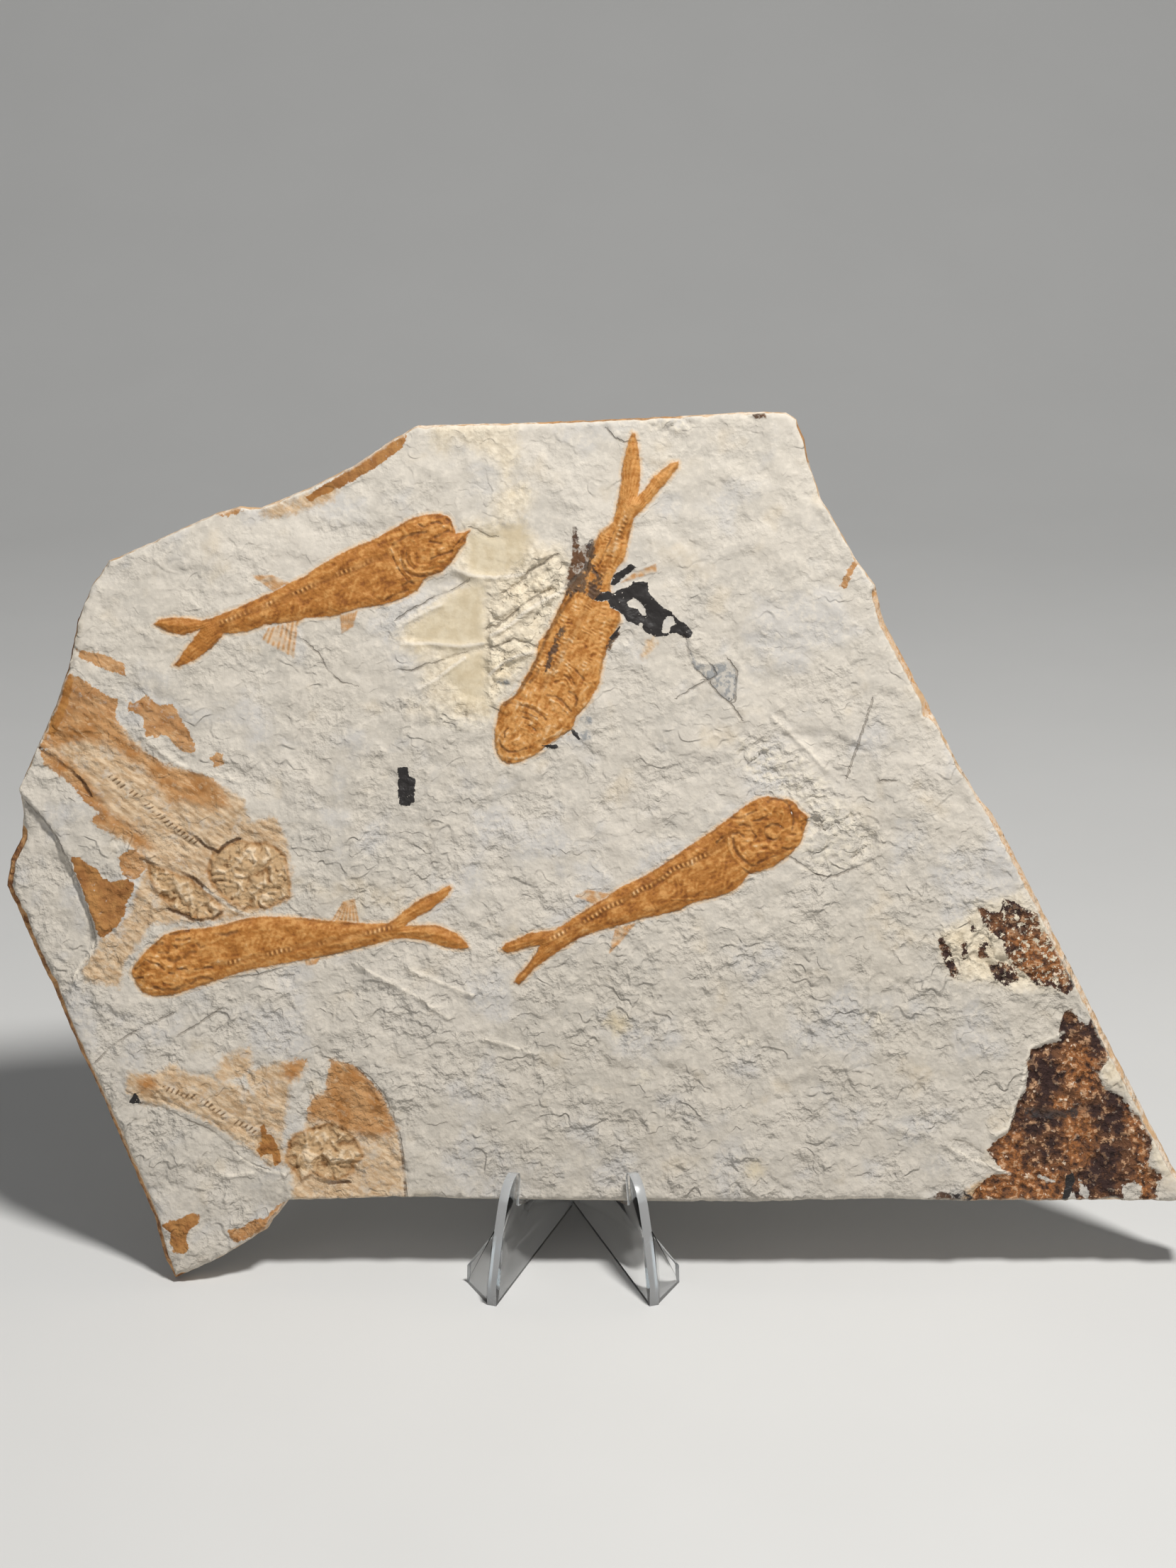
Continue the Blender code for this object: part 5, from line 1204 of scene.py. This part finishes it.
def make_slab():
    levels, depths, drops, chips = edge_rings()
    count = len(levels[0])
    flat = face_places(levels[0])
    height, marks = face(*flat.T)
    covered = np.maximum(marks["fish"], marks["fin"])
    height -= FISH_HOLLOW * smooth((covered + 0.35) / 0.5)
    height[:count] -= 0.12 + 0.25 * np.abs(chips)
    points, below = [face_point(*flat.T, height)], [np.zeros(len(flat))]
    for level, depth, drop in zip(levels[1:], depths[1:], drops[1:]):
        settled = height[:count] * smooth(1.0 - depth / 4.0)
        points.append(face_point(*level.T, settled - drop))
        below.append(depth)
    starts = [0, *(len(flat) + count * i for i in range(len(EDGE_LEVELS) - 1))]
    rings = [start + np.arange(count) for start in starts]
    triangles = [sheet(count, flat)]
    for upper, lower in zip(rings, rings[1:]):
        next_upper, next_lower = np.roll(upper, -1), np.roll(lower, -1)
        triangles.append(np.stack([upper, next_upper, next_lower], axis=1))
        triangles.append(np.stack([upper, next_lower, lower], axis=1))

    behind = well_inside(scattered(BACK_PITCH, 63), levels[-1], 1.2)
    u, v = behind.T
    hollow = 0.5 * stepped(swell(u, v, 24.0, 64), 0.5, 0.4) + 0.16 * swell(u, v, 7.0, 65)
    points.append(face_point(u, v, BACK + hollow.clip(-0.4, 0.9) + 2.6 * thinned(v)))
    below.append(np.full(len(behind), THICKNESS))
    numbers = np.concatenate([rings[-1], rings[-1][-1] + 1 + np.arange(len(behind))])
    triangles.append(numbers[sheet(count, np.concatenate([levels[-1], behind]))][:, ::-1])

    points, below = np.concatenate(points), np.concatenate(below)
    off_face = {"crack": REACH, "ridge": REACH, "bead": 0.0}
    for name, values in marks.items():
        rest = np.full(len(points) - len(flat), off_face.get(name, -REACH))
        marks[name] = np.concatenate([values, rest])
    marks["below"] = below
    # Distance from the rim, which is cut into short lines so that few are near any one place.
    rim = [tuple(p) for p in levels[0]]
    rims = [rim[i:i + 12] for i in range(0, count, 11)] + [[rim[-1], rim[0]]]
    marks["edge"] = np.concatenate([gap_to_lines(*flat.T, rims)[0], np.zeros(len(points) - len(flat))])
    marks["stain"] = edge_kind(*np.concatenate([flat, *levels[1:], behind]).T)[0]
    return piece("slab_stone", points, np.concatenate(triangles), marks)


slab = make_slab()
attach(slab, "root")
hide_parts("slab")


def edge_colour(where, grain, colour, bare):
    """The broken edges: stained brown, with pale fresh chips, and bare towards the back."""
    below = mark(where, "below")
    over_rim = ramp(maths("SUBTRACT", below, times(grain.fine, 0.8)), -0.2, 0.3)
    mottle = noise(where, 2.4, 4.0, 0.65)
    brown = two_tone(mottle, 0.38, 0.62, (126, 84, 52), (204, 156, 106))
    pale = two_tone(mottle, 0.4, 0.6, (206, 170, 130), (232, 216, 196))
    stained = moved(mark(where, "stain"), mottle, 1.6)
    side_tone = tint(ramp(stained, 0.4, 0.6), pale, brown)
    side_tone = tint(ramp(below, 3.0, 6.8, 0.0, 0.9), side_tone, bare)
    colour = tint(over_rim, colour, side_tone)
    rim = maths("MULTIPLY_ADD", grain.ragged, 1.2, mark(where, "edge"))
    on_face = maths("LESS_THAN", below, 0.01)
    return tint(times(ramp(rim, 1.1, 0.5, 0.0, 0.5), on_face), colour, paint(232, 222, 204))


def stone_group():
    """Colour, roughness and height of the slab's face with everything on it except the four fish."""
    tree = bpy.data.node_groups.new("stone_face", "ShaderNodeTree")
    where = put("TexCoord", tree=tree).outputs["Object"]
    # Noises that several parts share, from coarse to fine.
    grain = SimpleNamespace(
        middle=noise(where, 9.0, 3.0), fine=noise(where, 1.3, 5.0, 0.6),
        ragged=noise(where, 1.1, 4.0, 0.65), speck=noise(where, 0.6),
    )
    bare = stone_colour(where, grain)
    colour, rough, buff, cream = scar_colour(where, grain, bare)
    colour, browned = film_colour(where, grain, colour)
    colour = bone_colour(where, grain, colour)
    colour, rusty, crumbs = rust_colour(where, grain, colour, buff)
    colour, blackened = black_colour(where, grain, colour)
    colour, crack = crack_colour(where, grain, colour, browned, rough, buff)
    colour = edge_colour(where, grain, colour, bare)

    height = stone_relief(where, rough, cream)
    height = moved(height, crumbs, times(rusty, MM))
    height = maths("MULTIPLY_ADD", crack, -0.22 * MM, height)
    roughness = ramp(grain.fine, 0.3, 0.7, 0.82, 0.94)
    roughness = maths("MULTIPLY_ADD", blackened, -0.35, roughness)
    ends = tree.nodes.new("NodeGroupOutput")
    results = (("Color", "Color", colour), ("Roughness", "Float", roughness), ("Height", "Float", height))
    for name, kind, value in results:
        tree.interface.new_socket(name, in_out="OUTPUT", socket_type="NodeSocket" + kind)
        tree.links.new(value, ends.inputs[name])
    return tree


def material(name, **sockets):
    """A new material and its Principled shader with plain values on its sockets."""
    made = bpy.data.materials.new(name)
    made.use_nodes = True
    shader = made.node_tree.nodes["Principled BSDF"]
    for socket, value in sockets.items():
        shader.inputs[socket.replace("_", " ")].default_value = value
    return made, made.node_tree, shader


def bump(height, strength=1.0):
    """The surface's direction where a height in metres is laid on it."""
    return put("Bump", {"Strength": strength, "Distance": 1.0, "Height": height}).outputs["Normal"]


stone_face = stone_group()
limestone, tree, shader = material("split_limestone", Specular_IOR_Level=0.3)
surface = put("Group", tree=tree, node_tree=stone_face)
tree.links.new(surface.outputs["Color"], shader.inputs["Base Color"])
tree.links.new(surface.outputs["Roughness"], shader.inputs["Roughness"])
tree.links.new(bump(surface.outputs["Height"]), shader.inputs["Normal"])
slab.data.materials.append(limestone)


# ==== The four fish ====
# Each is a flattened herring-like fish some 60 mm long, its skin and bone turned orange brown. It is
# part of the stone, a little proud of it, with the backbone, ribs, gill bones, eye and fin rays showing.
FISH_PITCH = 0.19  # between the points of a fish's mesh
FISH_MARGIN = 1.2  # how far a fish's mesh reaches beyond its outline
FISH_FLOAT = 0.012  # keeps a fish's skin clear of the stone's own height
FISH_FLOOR = -1.6  # height of the closed underside, inside the stone
HEAD_LENGTH = 14.0
FIN_RAYS = 7


def ray_lines(fin, count):
    root_a, root_b, tip_b, tip_a = (np.array(p) for p in fin)
    return [
        [tuple(root_a + (root_b - root_a) * t), tuple(tip_a + (tip_b - tip_a) * t)]
        for t in np.linspace(0.04, 0.96, count)
    ]


def strokes(u, v, lines, seed):
    """Strength from 0 to 1 of lines grouped by width, each a little uneven."""
    strength = np.zeros(len(u))
    uneven = 0.16 * swell(u, v, 0.9, seed)
    for width, group in lines.items():
        for line in group:
            some = near(u, v, line)
            gap = gap_to(u[some], v[some], line) + uneven[some]
            strength[some] = np.maximum(strength[some], smooth(1.25 - 1.1 * gap / (0.5 * width)))
    return strength


def backbone(at, fish, seed):
    """Relief, tone and darkness of the backbone and of the ribs that sweep back from it."""
    u, v, along, across = at.u, at.v, at.along, at.across
    before_tail = smooth((at.length - along) / 4.0) * at.back
    whole = smooth(fish["beads"] + 1.5 * swell(u, v, 4.5, seed + 1))
    sway = across + 0.25 * swell(along, 0.0 * along, 3.0, seed + 11)
    groove = smooth(1.3 - np.abs(sway) / 0.75) * before_tail
    bead = smooth(1.5 - np.abs(sway) / 0.42) * smooth(0.5 + 0.9 * wave(along, 0.98))
    dark = groove * (1.0 - bead * whole) * (0.25 + 0.6 * whole)
    sweep = along - 0.85 * np.abs(across) + 0.35 * swell(u, v, 3.0, seed + 12)
    ribs = wave(sweep, 1.25) * smooth(np.abs(across) / 0.8 - 0.4) * before_tail * smooth(at.depth / 1.2)
    ribs *= smooth(0.4 + 1.3 * swell(u, v, 4.0, seed + 2))
    relief = 0.2 * bead * whole * before_tail - 0.09 * groove + 0.035 * ribs
    return relief, 0.45 * bead * before_tail * whole + 0.1 * ribs, dark


def skin_marks(at, fish, seed):
    """Streaks that run along the body, blotches, and wrinkles across it."""
    u, v, along, across = at.u, at.v, at.along, at.across
    streaks = swell(along / 3.2, across, 1.0, seed + 3) + 0.7 * swell(along / 2.0, across, 0.5, seed + 4)
    blotches = swells(u, v, (1.0, 3.4, seed + 13), (0.7, 1.5, seed + 14))
    crumple = swell(u, v, 0.75, seed + 15)
    bowed = along + 0.025 * across * across + 0.7 * swell(u, v, 3.0, seed + 16)
    wrinkle = wave(bowed, 0.85) * smooth(0.5 + 1.2 * swell(u, v, 2.6, seed + 17))
    wrinkle *= fish["wrinkles"] * at.body * smooth((at.length - along) / 12.0) * at.back
    wrinkle *= smooth(0.75 + 1.5 * swell(u, v, 1.3, seed + 22))
    relief = (0.05 * streaks + 0.06 * blotches + 0.03 * crumple) * at.body + 0.07 * wrinkle
    uneven = fish["mottle"] * (0.25 * streaks + 0.21 * blotches + 0.11 * crumple)
    tone = uneven * (0.6 + 0.4 * at.body - 0.5 * at.tail) + 0.24 * wrinkle
    return relief, tone, 0.35 * smooth(-wrinkle - 0.2)


def head_plates(at, seed):
    """The crushed plates of the head."""
    u, v = at.u, at.v
    head = (1.0 - at.back) * at.body
    bent_u, bent_v = bent(u, v, 0.8, 1.8, seed + 6)
    plates = np.abs(swell(bent_u, bent_v, 1.9, seed + 8))
    relief = (0.14 * (0.3 - plates) + 0.09 * swell(u, v, 1.1, seed + 5)) * head
    tone = (0.04 + 0.28 * swell(bent_u, bent_v, 1.4, seed + 9)) * head
    return relief, tone, 0.3 * smooth(1.0 - plates / 0.1) * head


def fin_rays(at, fish, seed):
    """Thin separate rays on the bare stone."""
    u, v = at.u, at.v
    ray = np.zeros(len(u))
    for fin in fish["fins"]:
        fade = smooth(depth_in(u, v, [fin]) / 0.5 + 0.6)
        for line in ray_lines(fin, FIN_RAYS):
            ray = np.maximum(ray, smooth(1.15 - gap_to(u, v, line) / 0.36) * fade)
    return ray * (1.0 - smooth(at.depth / 0.3 + 0.5)) * smooth(0.8 + swell(u, v, 1.5, seed + 21))


def fish_marks(u, v, fish, seed):
    """Relief in mm and the marks of one fish's bones and skin."""
    depth = depth_in(u, v, [fish["outline"]])
    along, across, length = along_line(u, v, fish["spine"])
    body = smooth(depth / 0.5)
    at = SimpleNamespace(
        u=u, v=v, depth=depth, along=along, across=across, length=length, body=body,
        tail=smooth((along - length + 2.5) / 2.0) * body, back=smooth((along - HEAD_LENGTH) / 2.5),
    )
    relief, tone, dark = (sum(parts) for parts in zip(
        backbone(at, fish, seed), skin_marks(at, fish, seed), head_plates(at, seed)))
    tone += 0.5 + fish["lift"]
    # The edges of the jaws, cheek, gill cover and eye stand out.
    groove, bone = (strokes(u, v, fish[kind], seed + 18) for kind in ("grooves", "bones"))
    groove *= 0.45 + 0.55 * smooth(0.75 + swell(u, v, 1.8, seed + 19))
    eye = np.hypot(u - fish["eye"][0], v - fish["eye"][1])
    relief += 0.13 * bone - 0.16 * groove - 0.12 * smooth(1.0 - eye / 1.3)
    tone += 0.28 * bone
    dark = np.maximum(dark * (1.0 - 0.7 * bone), groove)
    # Rays fan out over the tail from near the end of the backbone.
    root_u, root_v = fish["spine"][-3]
    fan = np.arctan2(v - root_v, u - root_u)
    rays = np.cos(fan * 95.0 + 2.4 * swell(u, v, 2.5, seed + 20))
    rays *= smooth(0.5 + swell(u, v, 1.6, seed + 23)) * at.tail
    relief += 0.04 * rays
    tone += 0.17 * rays
    # The outline is marked by a dark line in places.
    rim = smooth(1.0 - np.abs(depth - 0.25) / 0.45)
    dark += 0.6 * rim * smooth(0.35 + 1.5 * swell(u, v, 4.0, seed + 10))
    ray = fin_rays(at, fish, seed)
    return relief + 0.06 * ray, {"fish_depth": depth, "tone": tone, "line": dark.clip(0.0, 1.0), "ray": ray}


def compact(triangles):
    """The numbers of the points in use, and the triangles numbered by them."""
    used, triangles = np.unique(triangles, return_inverse=True)
    return used, triangles.reshape(-1, 3)


def fish_grid(fish):
    """Places over a fish and its fins, the triangles between them, and each one's depth inside."""
    around = fish["outline"] + [p for fin in fish["fins"] for p in fin]
    low = np.min(around, axis=0) - FISH_MARGIN - 0.5
    high = np.max(around, axis=0) + FISH_MARGIN + 0.5
    u, v, row, width = hex_grid(low, high, FISH_PITCH)
    here = np.arange(len(u)).reshape(row.shape)[:-1, :-1]
    right, above, diagonal = here + 1, here + width, here + width + 1
    odd = (row[:-1, :-1] % 2 == 1)[..., None]
    first = np.where(odd, np.stack([here, right, diagonal], -1), np.stack([here, right, above], -1))
    second = np.where(odd, np.stack([here, diagonal, above], -1), np.stack([right, diagonal, above], -1))
    triangles = np.concatenate([first.reshape(-1, 3), second.reshape(-1, 3)])
    depth = depth_in(u, v, [fish["outline"], *fish["fins"]])
    used, triangles = compact(triangles[(depth[triangles] > -FISH_MARGIN).all(axis=1)])
    return u[used], v[used], triangles, depth[used]


def underside(u, v, triangles):
    """Triangles down from the border of a fish and across its floor, whose points are numbered on."""
    ends = np.concatenate([triangles[:, [0, 1]], triangles[:, [1, 2]], triangles[:, [2, 0]]])
    _, index, uses = np.unique(np.sort(ends, axis=1), axis=0, return_inverse=True, return_counts=True)
    border = ends[uses[index.reshape(-1)] == 1]
    start, end = border.T
    below = len(u)
    skirt = [np.stack([end, start, start + below], axis=1)]
    skirt += [np.stack([end, start + below, end + below], axis=1)]
    ring = np.unique(border)
    edges = [tuple(edge) for edge in np.searchsorted(ring, border).tolist()]
    floor = ring[filled(np.stack([u, v], axis=-1)[ring], edges)][:, ::-1] + below
    return [*skirt, floor]


def make_fish(name, fish, seed):
    u, v, triangles, depth = fish_grid(fish)
    height, marks = face(u, v)
    relief, own = fish_marks(u, v, fish, seed)
    height += relief + FISH_FLOAT * (1.0 - 3.5 * smooth((-0.55 - depth) / 0.65))
    marks |= own
    marks["below"] = np.zeros(len(u))
    marks["edge"] = np.full(len(u), REACH)
    points = np.concatenate([face_point(u, v, height), face_point(u, v, np.full(len(u), FISH_FLOOR))])
    used, triangles = compact(np.concatenate([triangles, *underside(u, v, triangles)]))
    marks = {mark_name: np.concatenate([values, values])[used] for mark_name, values in marks.items()}
    made = piece(name, points[used], triangles, marks)
    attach(made, "root")
    return made


fish_pieces = [
    make_fish("fish_" + name, fish, 100 + 20 * i) for i, (name, fish) in enumerate(FISH.items())
]
skin, tree, shader = material("fossil_fish", Specular_IOR_Level=0.35)
surface = put("Group", tree=tree, node_tree=stone_face)
where = put("TexCoord", tree=tree).outputs["Object"]
ragged = noise(where, 0.9, 4.0, 0.65)
mottle = noise(where, 2.0, 4.0, 0.6)
fine = noise(where, 0.5, 3.0, 0.6)
not_black = ramp(moved(mark(where, "black"), ragged, 0.7), -0.06, 0.06, 1.0, 0.0)
# A warm halo on the stone round each fish, and a faint skin between the fin rays.
depth = moved(mark(where, "fish_depth"), ragged, 0.8)
halo = times(ramp(depth, -1.0, -0.1), ramp(mottle, 0.35, 0.6, 0.2, 0.7))
colour = tint(times(halo, not_black), surface.outputs["Color"], paint(220, 188, 150))
web = ramp(moved(mark(where, "fin"), ragged, 1.6), -0.3, 0.4, 0.0, 0.6)
colour = tint(times(web, not_black), colour, paint(212, 178, 136))
tone = moved(moved(mark(where, "tone"), mottle, 0.4), fine, 0.3)
skin_tone = two_tone(tone, 0.1, 0.5, (136, 80, 27), (176, 114, 48))
skin_tone = layered(
    skin_tone, (tone, 0.45, 0.9, 1.0, (208, 150, 84)), (tone, 0.9, 1.3, 1.0, (228, 188, 140)),
)
skin_tone = tint(times(mark(where, "line"), 0.65), skin_tone, paint(78, 45, 18))
body = times(ramp(depth, -0.22, 0.2), not_black)
colour = tint(body, colour, skin_tone)
# Black specks lie over the root of one fish's tail.
smoke = ramp(moved(mark(where, "dark"), ragged, 3.0), -0.1, 0.3, 0.0, 0.85)
colour = tint(times(smoke, ramp(mottle, 0.38, 0.52)), colour, paint(62, 50, 44))
ray = times(mark(where, "ray"), ramp(ragged, 0.3, 0.5, 0.4, 0.8))
colour = tint(ray, colour, paint(184, 128, 66))
under = times(surface.outputs["Height"], maths("SUBTRACT", 1.0, body))
relief = maths("MULTIPLY_ADD", times(fine, 0.16 * MM), body, under)
tree.links.new(colour, shader.inputs["Base Color"])
tree.links.new(ramp(times(body, mottle), 0.0, 0.7, 0.88, 0.6), shader.inputs["Roughness"])
tree.links.new(bump(relief), shader.inputs["Normal"])
for fish in fish_pieces:
    fish.data.materials.append(skin)

# ==== The clear easel ====
# Two moulded plates of clear plastic that slot through each other behind the slab, each with a hook in
# front, a ledge under the slab and a thin brace to a small foot.
PLATE = 2.0  # thickness of a plate
BRACE = 1.9  # thickness of its brace
PLATE_TURN = 0.345  # how far a plate turns inwards for each mm back
TURN = math.hypot(1.0, PLATE_TURN)
TIP_X = 16.6  # from the middle to a front tip
TIP_AHEAD = 0.33  # how far a plate's front corner reaches ahead of the middle of its tip
EASEL_TIP_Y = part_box("stand_left")[0].y / MM + TIP_AHEAD
SLOT_WIDTH = 7.0
SLOT_HEIGHT = 28.0
SLOT_MOUTH = (68.2, 51.2)  # height of the plate's edge in front of the slot and behind it
AIR = 0.35  # left between parts that rest on each other
ROUNDING = 0.25
# Side views of the front with its hook and of the back: distance back from the tip, and height.
PLATE_FRONT = [
    (0.0, 0.0), (0.0, 4.6), (1.7, 8.0), (4.4, 14.5), (7.0, 19.7), (8.8, 22.1), (10.8, 23.4),
    (12.8, 23.9), (14.4, 23.4), (15.0, 22.0),
]
PLATE_BACK = [
    (40.6, 71.4), (42.0, 73.0), (44.0, 73.2), (46.0, 71.8), (51.0, 59.0), (58.0, 43.0),
    (66.0, 26.0), (73.5, 13.5), (81.0, 6.2), (83.0, 4.0), (83.4, 0.0),
]
# The brace's front face: out from the middle, back from the tip and up. It thickens inwards.
BRACE_FACE = [(17.3, 0.3, 0.0), (16.0, 4.3, 14.6), (21.9, 9.8, 4.0), (22.0, 9.9, 0.0)]
BRACE_INWARDS = (-0.89, 0.42, 0.0)


def plate_profile(slot_from_top):
    """A plate's closed side view with its half of the cross slot: distance back, height."""
    corner_z = LOWER_EDGE_Z - AIR
    corner = ((LOWER_EDGE_BEHIND_TIPS - TIP_AHEAD - AIR) * TURN, corner_z)
    seat = THICKNESS + 2 * AIR
    seat_end = (corner[0] + seat * math.cos(LEAN) * TURN, corner_z - seat * math.sin(LEAN))
    cross = TIP_X / PLATE_TURN * TURN
    left, right = cross - SLOT_WIDTH / 2, cross + SLOT_WIDTH / 2
    points = PLATE_FRONT + [corner, seat_end]
    if slot_from_top:
        points += [p for p in PLATE_BACK if p[0] < left]
        points += [(left, SLOT_MOUTH[0]), (left, SLOT_HEIGHT), (right, SLOT_HEIGHT), (right, SLOT_MOUTH[1])]
        return points + [p for p in PLATE_BACK if p[0] > right]
    top = SLOT_HEIGHT + AIR
    return points + PLATE_BACK + [(right, 0.0), (right, top), (left, top), (left, 0.0)]


def solid(name, points, faces):
    mesh = bpy.data.meshes.new(name)
    mesh.from_pydata([[c * MM for c in p] for p in points], [], faces)
    shape = bmesh.new()
    shape.from_mesh(mesh)
    bmesh.ops.recalc_face_normals(shape, faces=shape.faces)
    shape.to_mesh(mesh)
    shape.free()
    made = bpy.data.objects.new(name, mesh)
    bpy.context.scene.collection.objects.link(made)
    return made


def make_plate(name, side, slot_from_top):
    profile = plate_profile(slot_from_top)
    count = len(profile)
    normal = np.array([1.0, side * PLATE_TURN]) / TURN
    points = []
    for across in (-PLATE / 2, PLATE / 2):
        for along, z in profile:
            x = FACE_X + side * (TIP_X - along * PLATE_TURN / TURN)
            points.append((*(np.array([x, EASEL_TIP_Y + along / TURN]) + normal * across), z))
    faces = [tuple(range(count)), tuple(range(2 * count - 1, count - 1, -1))]
    faces += [((i + 1) % count, i, i + count, (i + 1) % count + count) for i in range(count)]
    made = solid(name, points, faces)
    sided = np.array([side, 1.0, 1.0])
    front = np.array(BRACE_FACE) * sided + (FACE_X, EASEL_TIP_Y, 0.0)
    behind = front + BRACE * np.array(BRACE_INWARDS) * sided
    brace = solid("brace", np.concatenate([front, behind]),
                  [(0, 1, 2, 3), (7, 6, 5, 4), (0, 4, 5, 1), (1, 5, 6, 2), (2, 6, 7, 3), (3, 7, 4, 0)])
    join = made.modifiers.new("join", "BOOLEAN")
    join.object, join.operation, join.solver = brace, "UNION", "EXACT"
    round_edges = made.modifiers.new("round_edges", "BEVEL")
    round_edges.width, round_edges.segments = ROUNDING * MM, 3
    round_edges.limit_method, round_edges.angle_limit = "ANGLE", math.radians(30.0)
    round_edges.harden_normals = False
    made.data = bpy.data.meshes.new_from_object(made.evaluated_get(bpy.context.evaluated_depsgraph_get()))
    made.modifiers.clear()
    made.data.name = name
    bpy.data.objects.remove(brace)
    made.data.shade_smooth()
    made.data.set_sharp_from_angle(angle=math.radians(32.0))
    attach(made, "root")
    return made


plates = [make_plate("easel_plate_left", -1, False), make_plate("easel_plate_right", 1, True)]
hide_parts("stand_left")
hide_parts("stand_right")


def plastic(name, transmission, least_rough):
    """Clear plastic with a faint smear and flow marks in its surface."""
    made, tree, shader = material(name, IOR=1.49, Transmission_Weight=transmission,
                                  Base_Color=(0.98, 0.985, 0.985, 1.0))
    where = put("TexCoord", tree=tree).outputs["Object"]
    smear = ramp(noise(where, 9.0, 3.0, 0.6), 0.4, 0.7, least_rough, least_rough + 0.07)
    tree.links.new(smear, shader.inputs["Roughness"])
    flow = times(noise(where, 6.0, 1.0), 0.1 * MM)
    tree.links.new(bump(flow, 0.4), shader.inputs["Normal"])
    absorbed = put("VolumeAbsorption", {"Color": (0.84, 0.89, 0.92, 1.0), "Density": 5.0}, tree)
    tree.links.new(absorbed.outputs[0], tree.nodes["Material Output"].inputs["Volume"])
    return made


# The wide sides are polished by the mould, and the narrow cut edges are frosted.
polished, frosted = plastic("clear_acrylic", 1.0, 0.02), plastic("frosted_edges", 0.68, 0.25)
for plate in plates:
    plate.data.materials.append(polished)
    plate.data.materials.append(frosted)
    for side in plate.data.polygons:
        side.material_index = int(abs(side.normal.x) < 0.65)

# ==== Floor, light and camera ====
# A sweep of pale paper under and behind the slab, one soft lamp high at the right, a weak broad one at
# the left, and the camera in front, looking a little down.
FLOOR_REACH = 5.0
WALL = 1.05  # how far behind the slab the wall stands
WALL_TOP = 3.0
CURVE = 0.5  # radius of the curve between floor and wall
LIT = (0.0, 0.0, 0.08)  # where the lamps point
FOCAL, FRAME_HEIGHT = 4500.0, 2212.0  # in pixels
SENSOR = 36.0  # height in mm


def make_floor():
    side_view = [(-FLOOR_REACH, 0.0), (WALL - CURVE, 0.0)]
    for turn in np.linspace(0.1, math.pi / 2, 14):
        side_view.append((WALL - CURVE + CURVE * math.sin(turn), CURVE - CURVE * math.cos(turn)))
    side_view.append((WALL, WALL_TOP))
    points = [(x, y, z) for y, z in side_view for x in (-FLOOR_REACH, FLOOR_REACH)]
    faces = [(2 * i, 2 * i + 1, 2 * i + 3, 2 * i + 2) for i in range(len(side_view) - 1)]
    mesh = bpy.data.meshes.new("floor")
    mesh.from_pydata(points, [], faces)
    mesh.shade_smooth()
    made = bpy.data.objects.new("floor", mesh)
    bpy.context.scene.collection.objects.link(made)
    return made


floor = make_floor()
paper, tree, shader = material("pale_paper", Specular_IOR_Level=0.2, Roughness=0.8)
clouds = noise(put("TexCoord", tree=tree).outputs["Object"], 60.0, 3.0)
tone = tint(clouds, (0.66, 0.66, 0.65, 1.0), (0.7, 0.7, 0.69, 1.0))
tree.links.new(tone, shader.inputs["Base Color"])
floor.data.materials.append(paper)


def lamp(name, place, size, power, colour):
    light = bpy.data.lights.new(name, "AREA")
    light.shape, light.size, light.energy, light.color = "DISK", size, power, colour
    made = bpy.data.objects.new(name, light)
    made.location = place
    made.rotation_euler = (Vector(LIT) - Vector(place)).to_track_quat("-Z", "Y").to_euler()
    bpy.context.scene.collection.objects.link(made)


lamp("key", (0.2, -0.29, 0.84), 0.14, 7.4, (1.0, 0.985, 0.96))
lamp("fill", (-0.8, -0.9, 0.5), 0.8, 1.0, (0.97, 0.98, 1.0))
world = bpy.data.worlds.new("studio")
world.use_nodes = True
world.node_tree.nodes["Background"].inputs["Color"].default_value = (0.95, 0.97, 1.0, 1.0)
world.node_tree.nodes["Background"].inputs["Strength"].default_value = 0.165
bpy.context.scene.world = world
bpy.context.scene.view_settings.view_transform = "Standard"

camera_data = bpy.data.cameras.new("camera")
camera_data.sensor_fit = "VERTICAL"
camera_data.sensor_height = SENSOR
camera_data.lens = FOCAL / FRAME_HEIGHT * SENSOR
camera = bpy.data.objects.new("camera", camera_data)
camera.location = (-0.00253, -0.61658, 0.31977)
camera.rotation_euler = (math.radians(70.3), 0.0, 0.0)
bpy.context.scene.collection.objects.link(camera)
bpy.context.scene.camera = camera
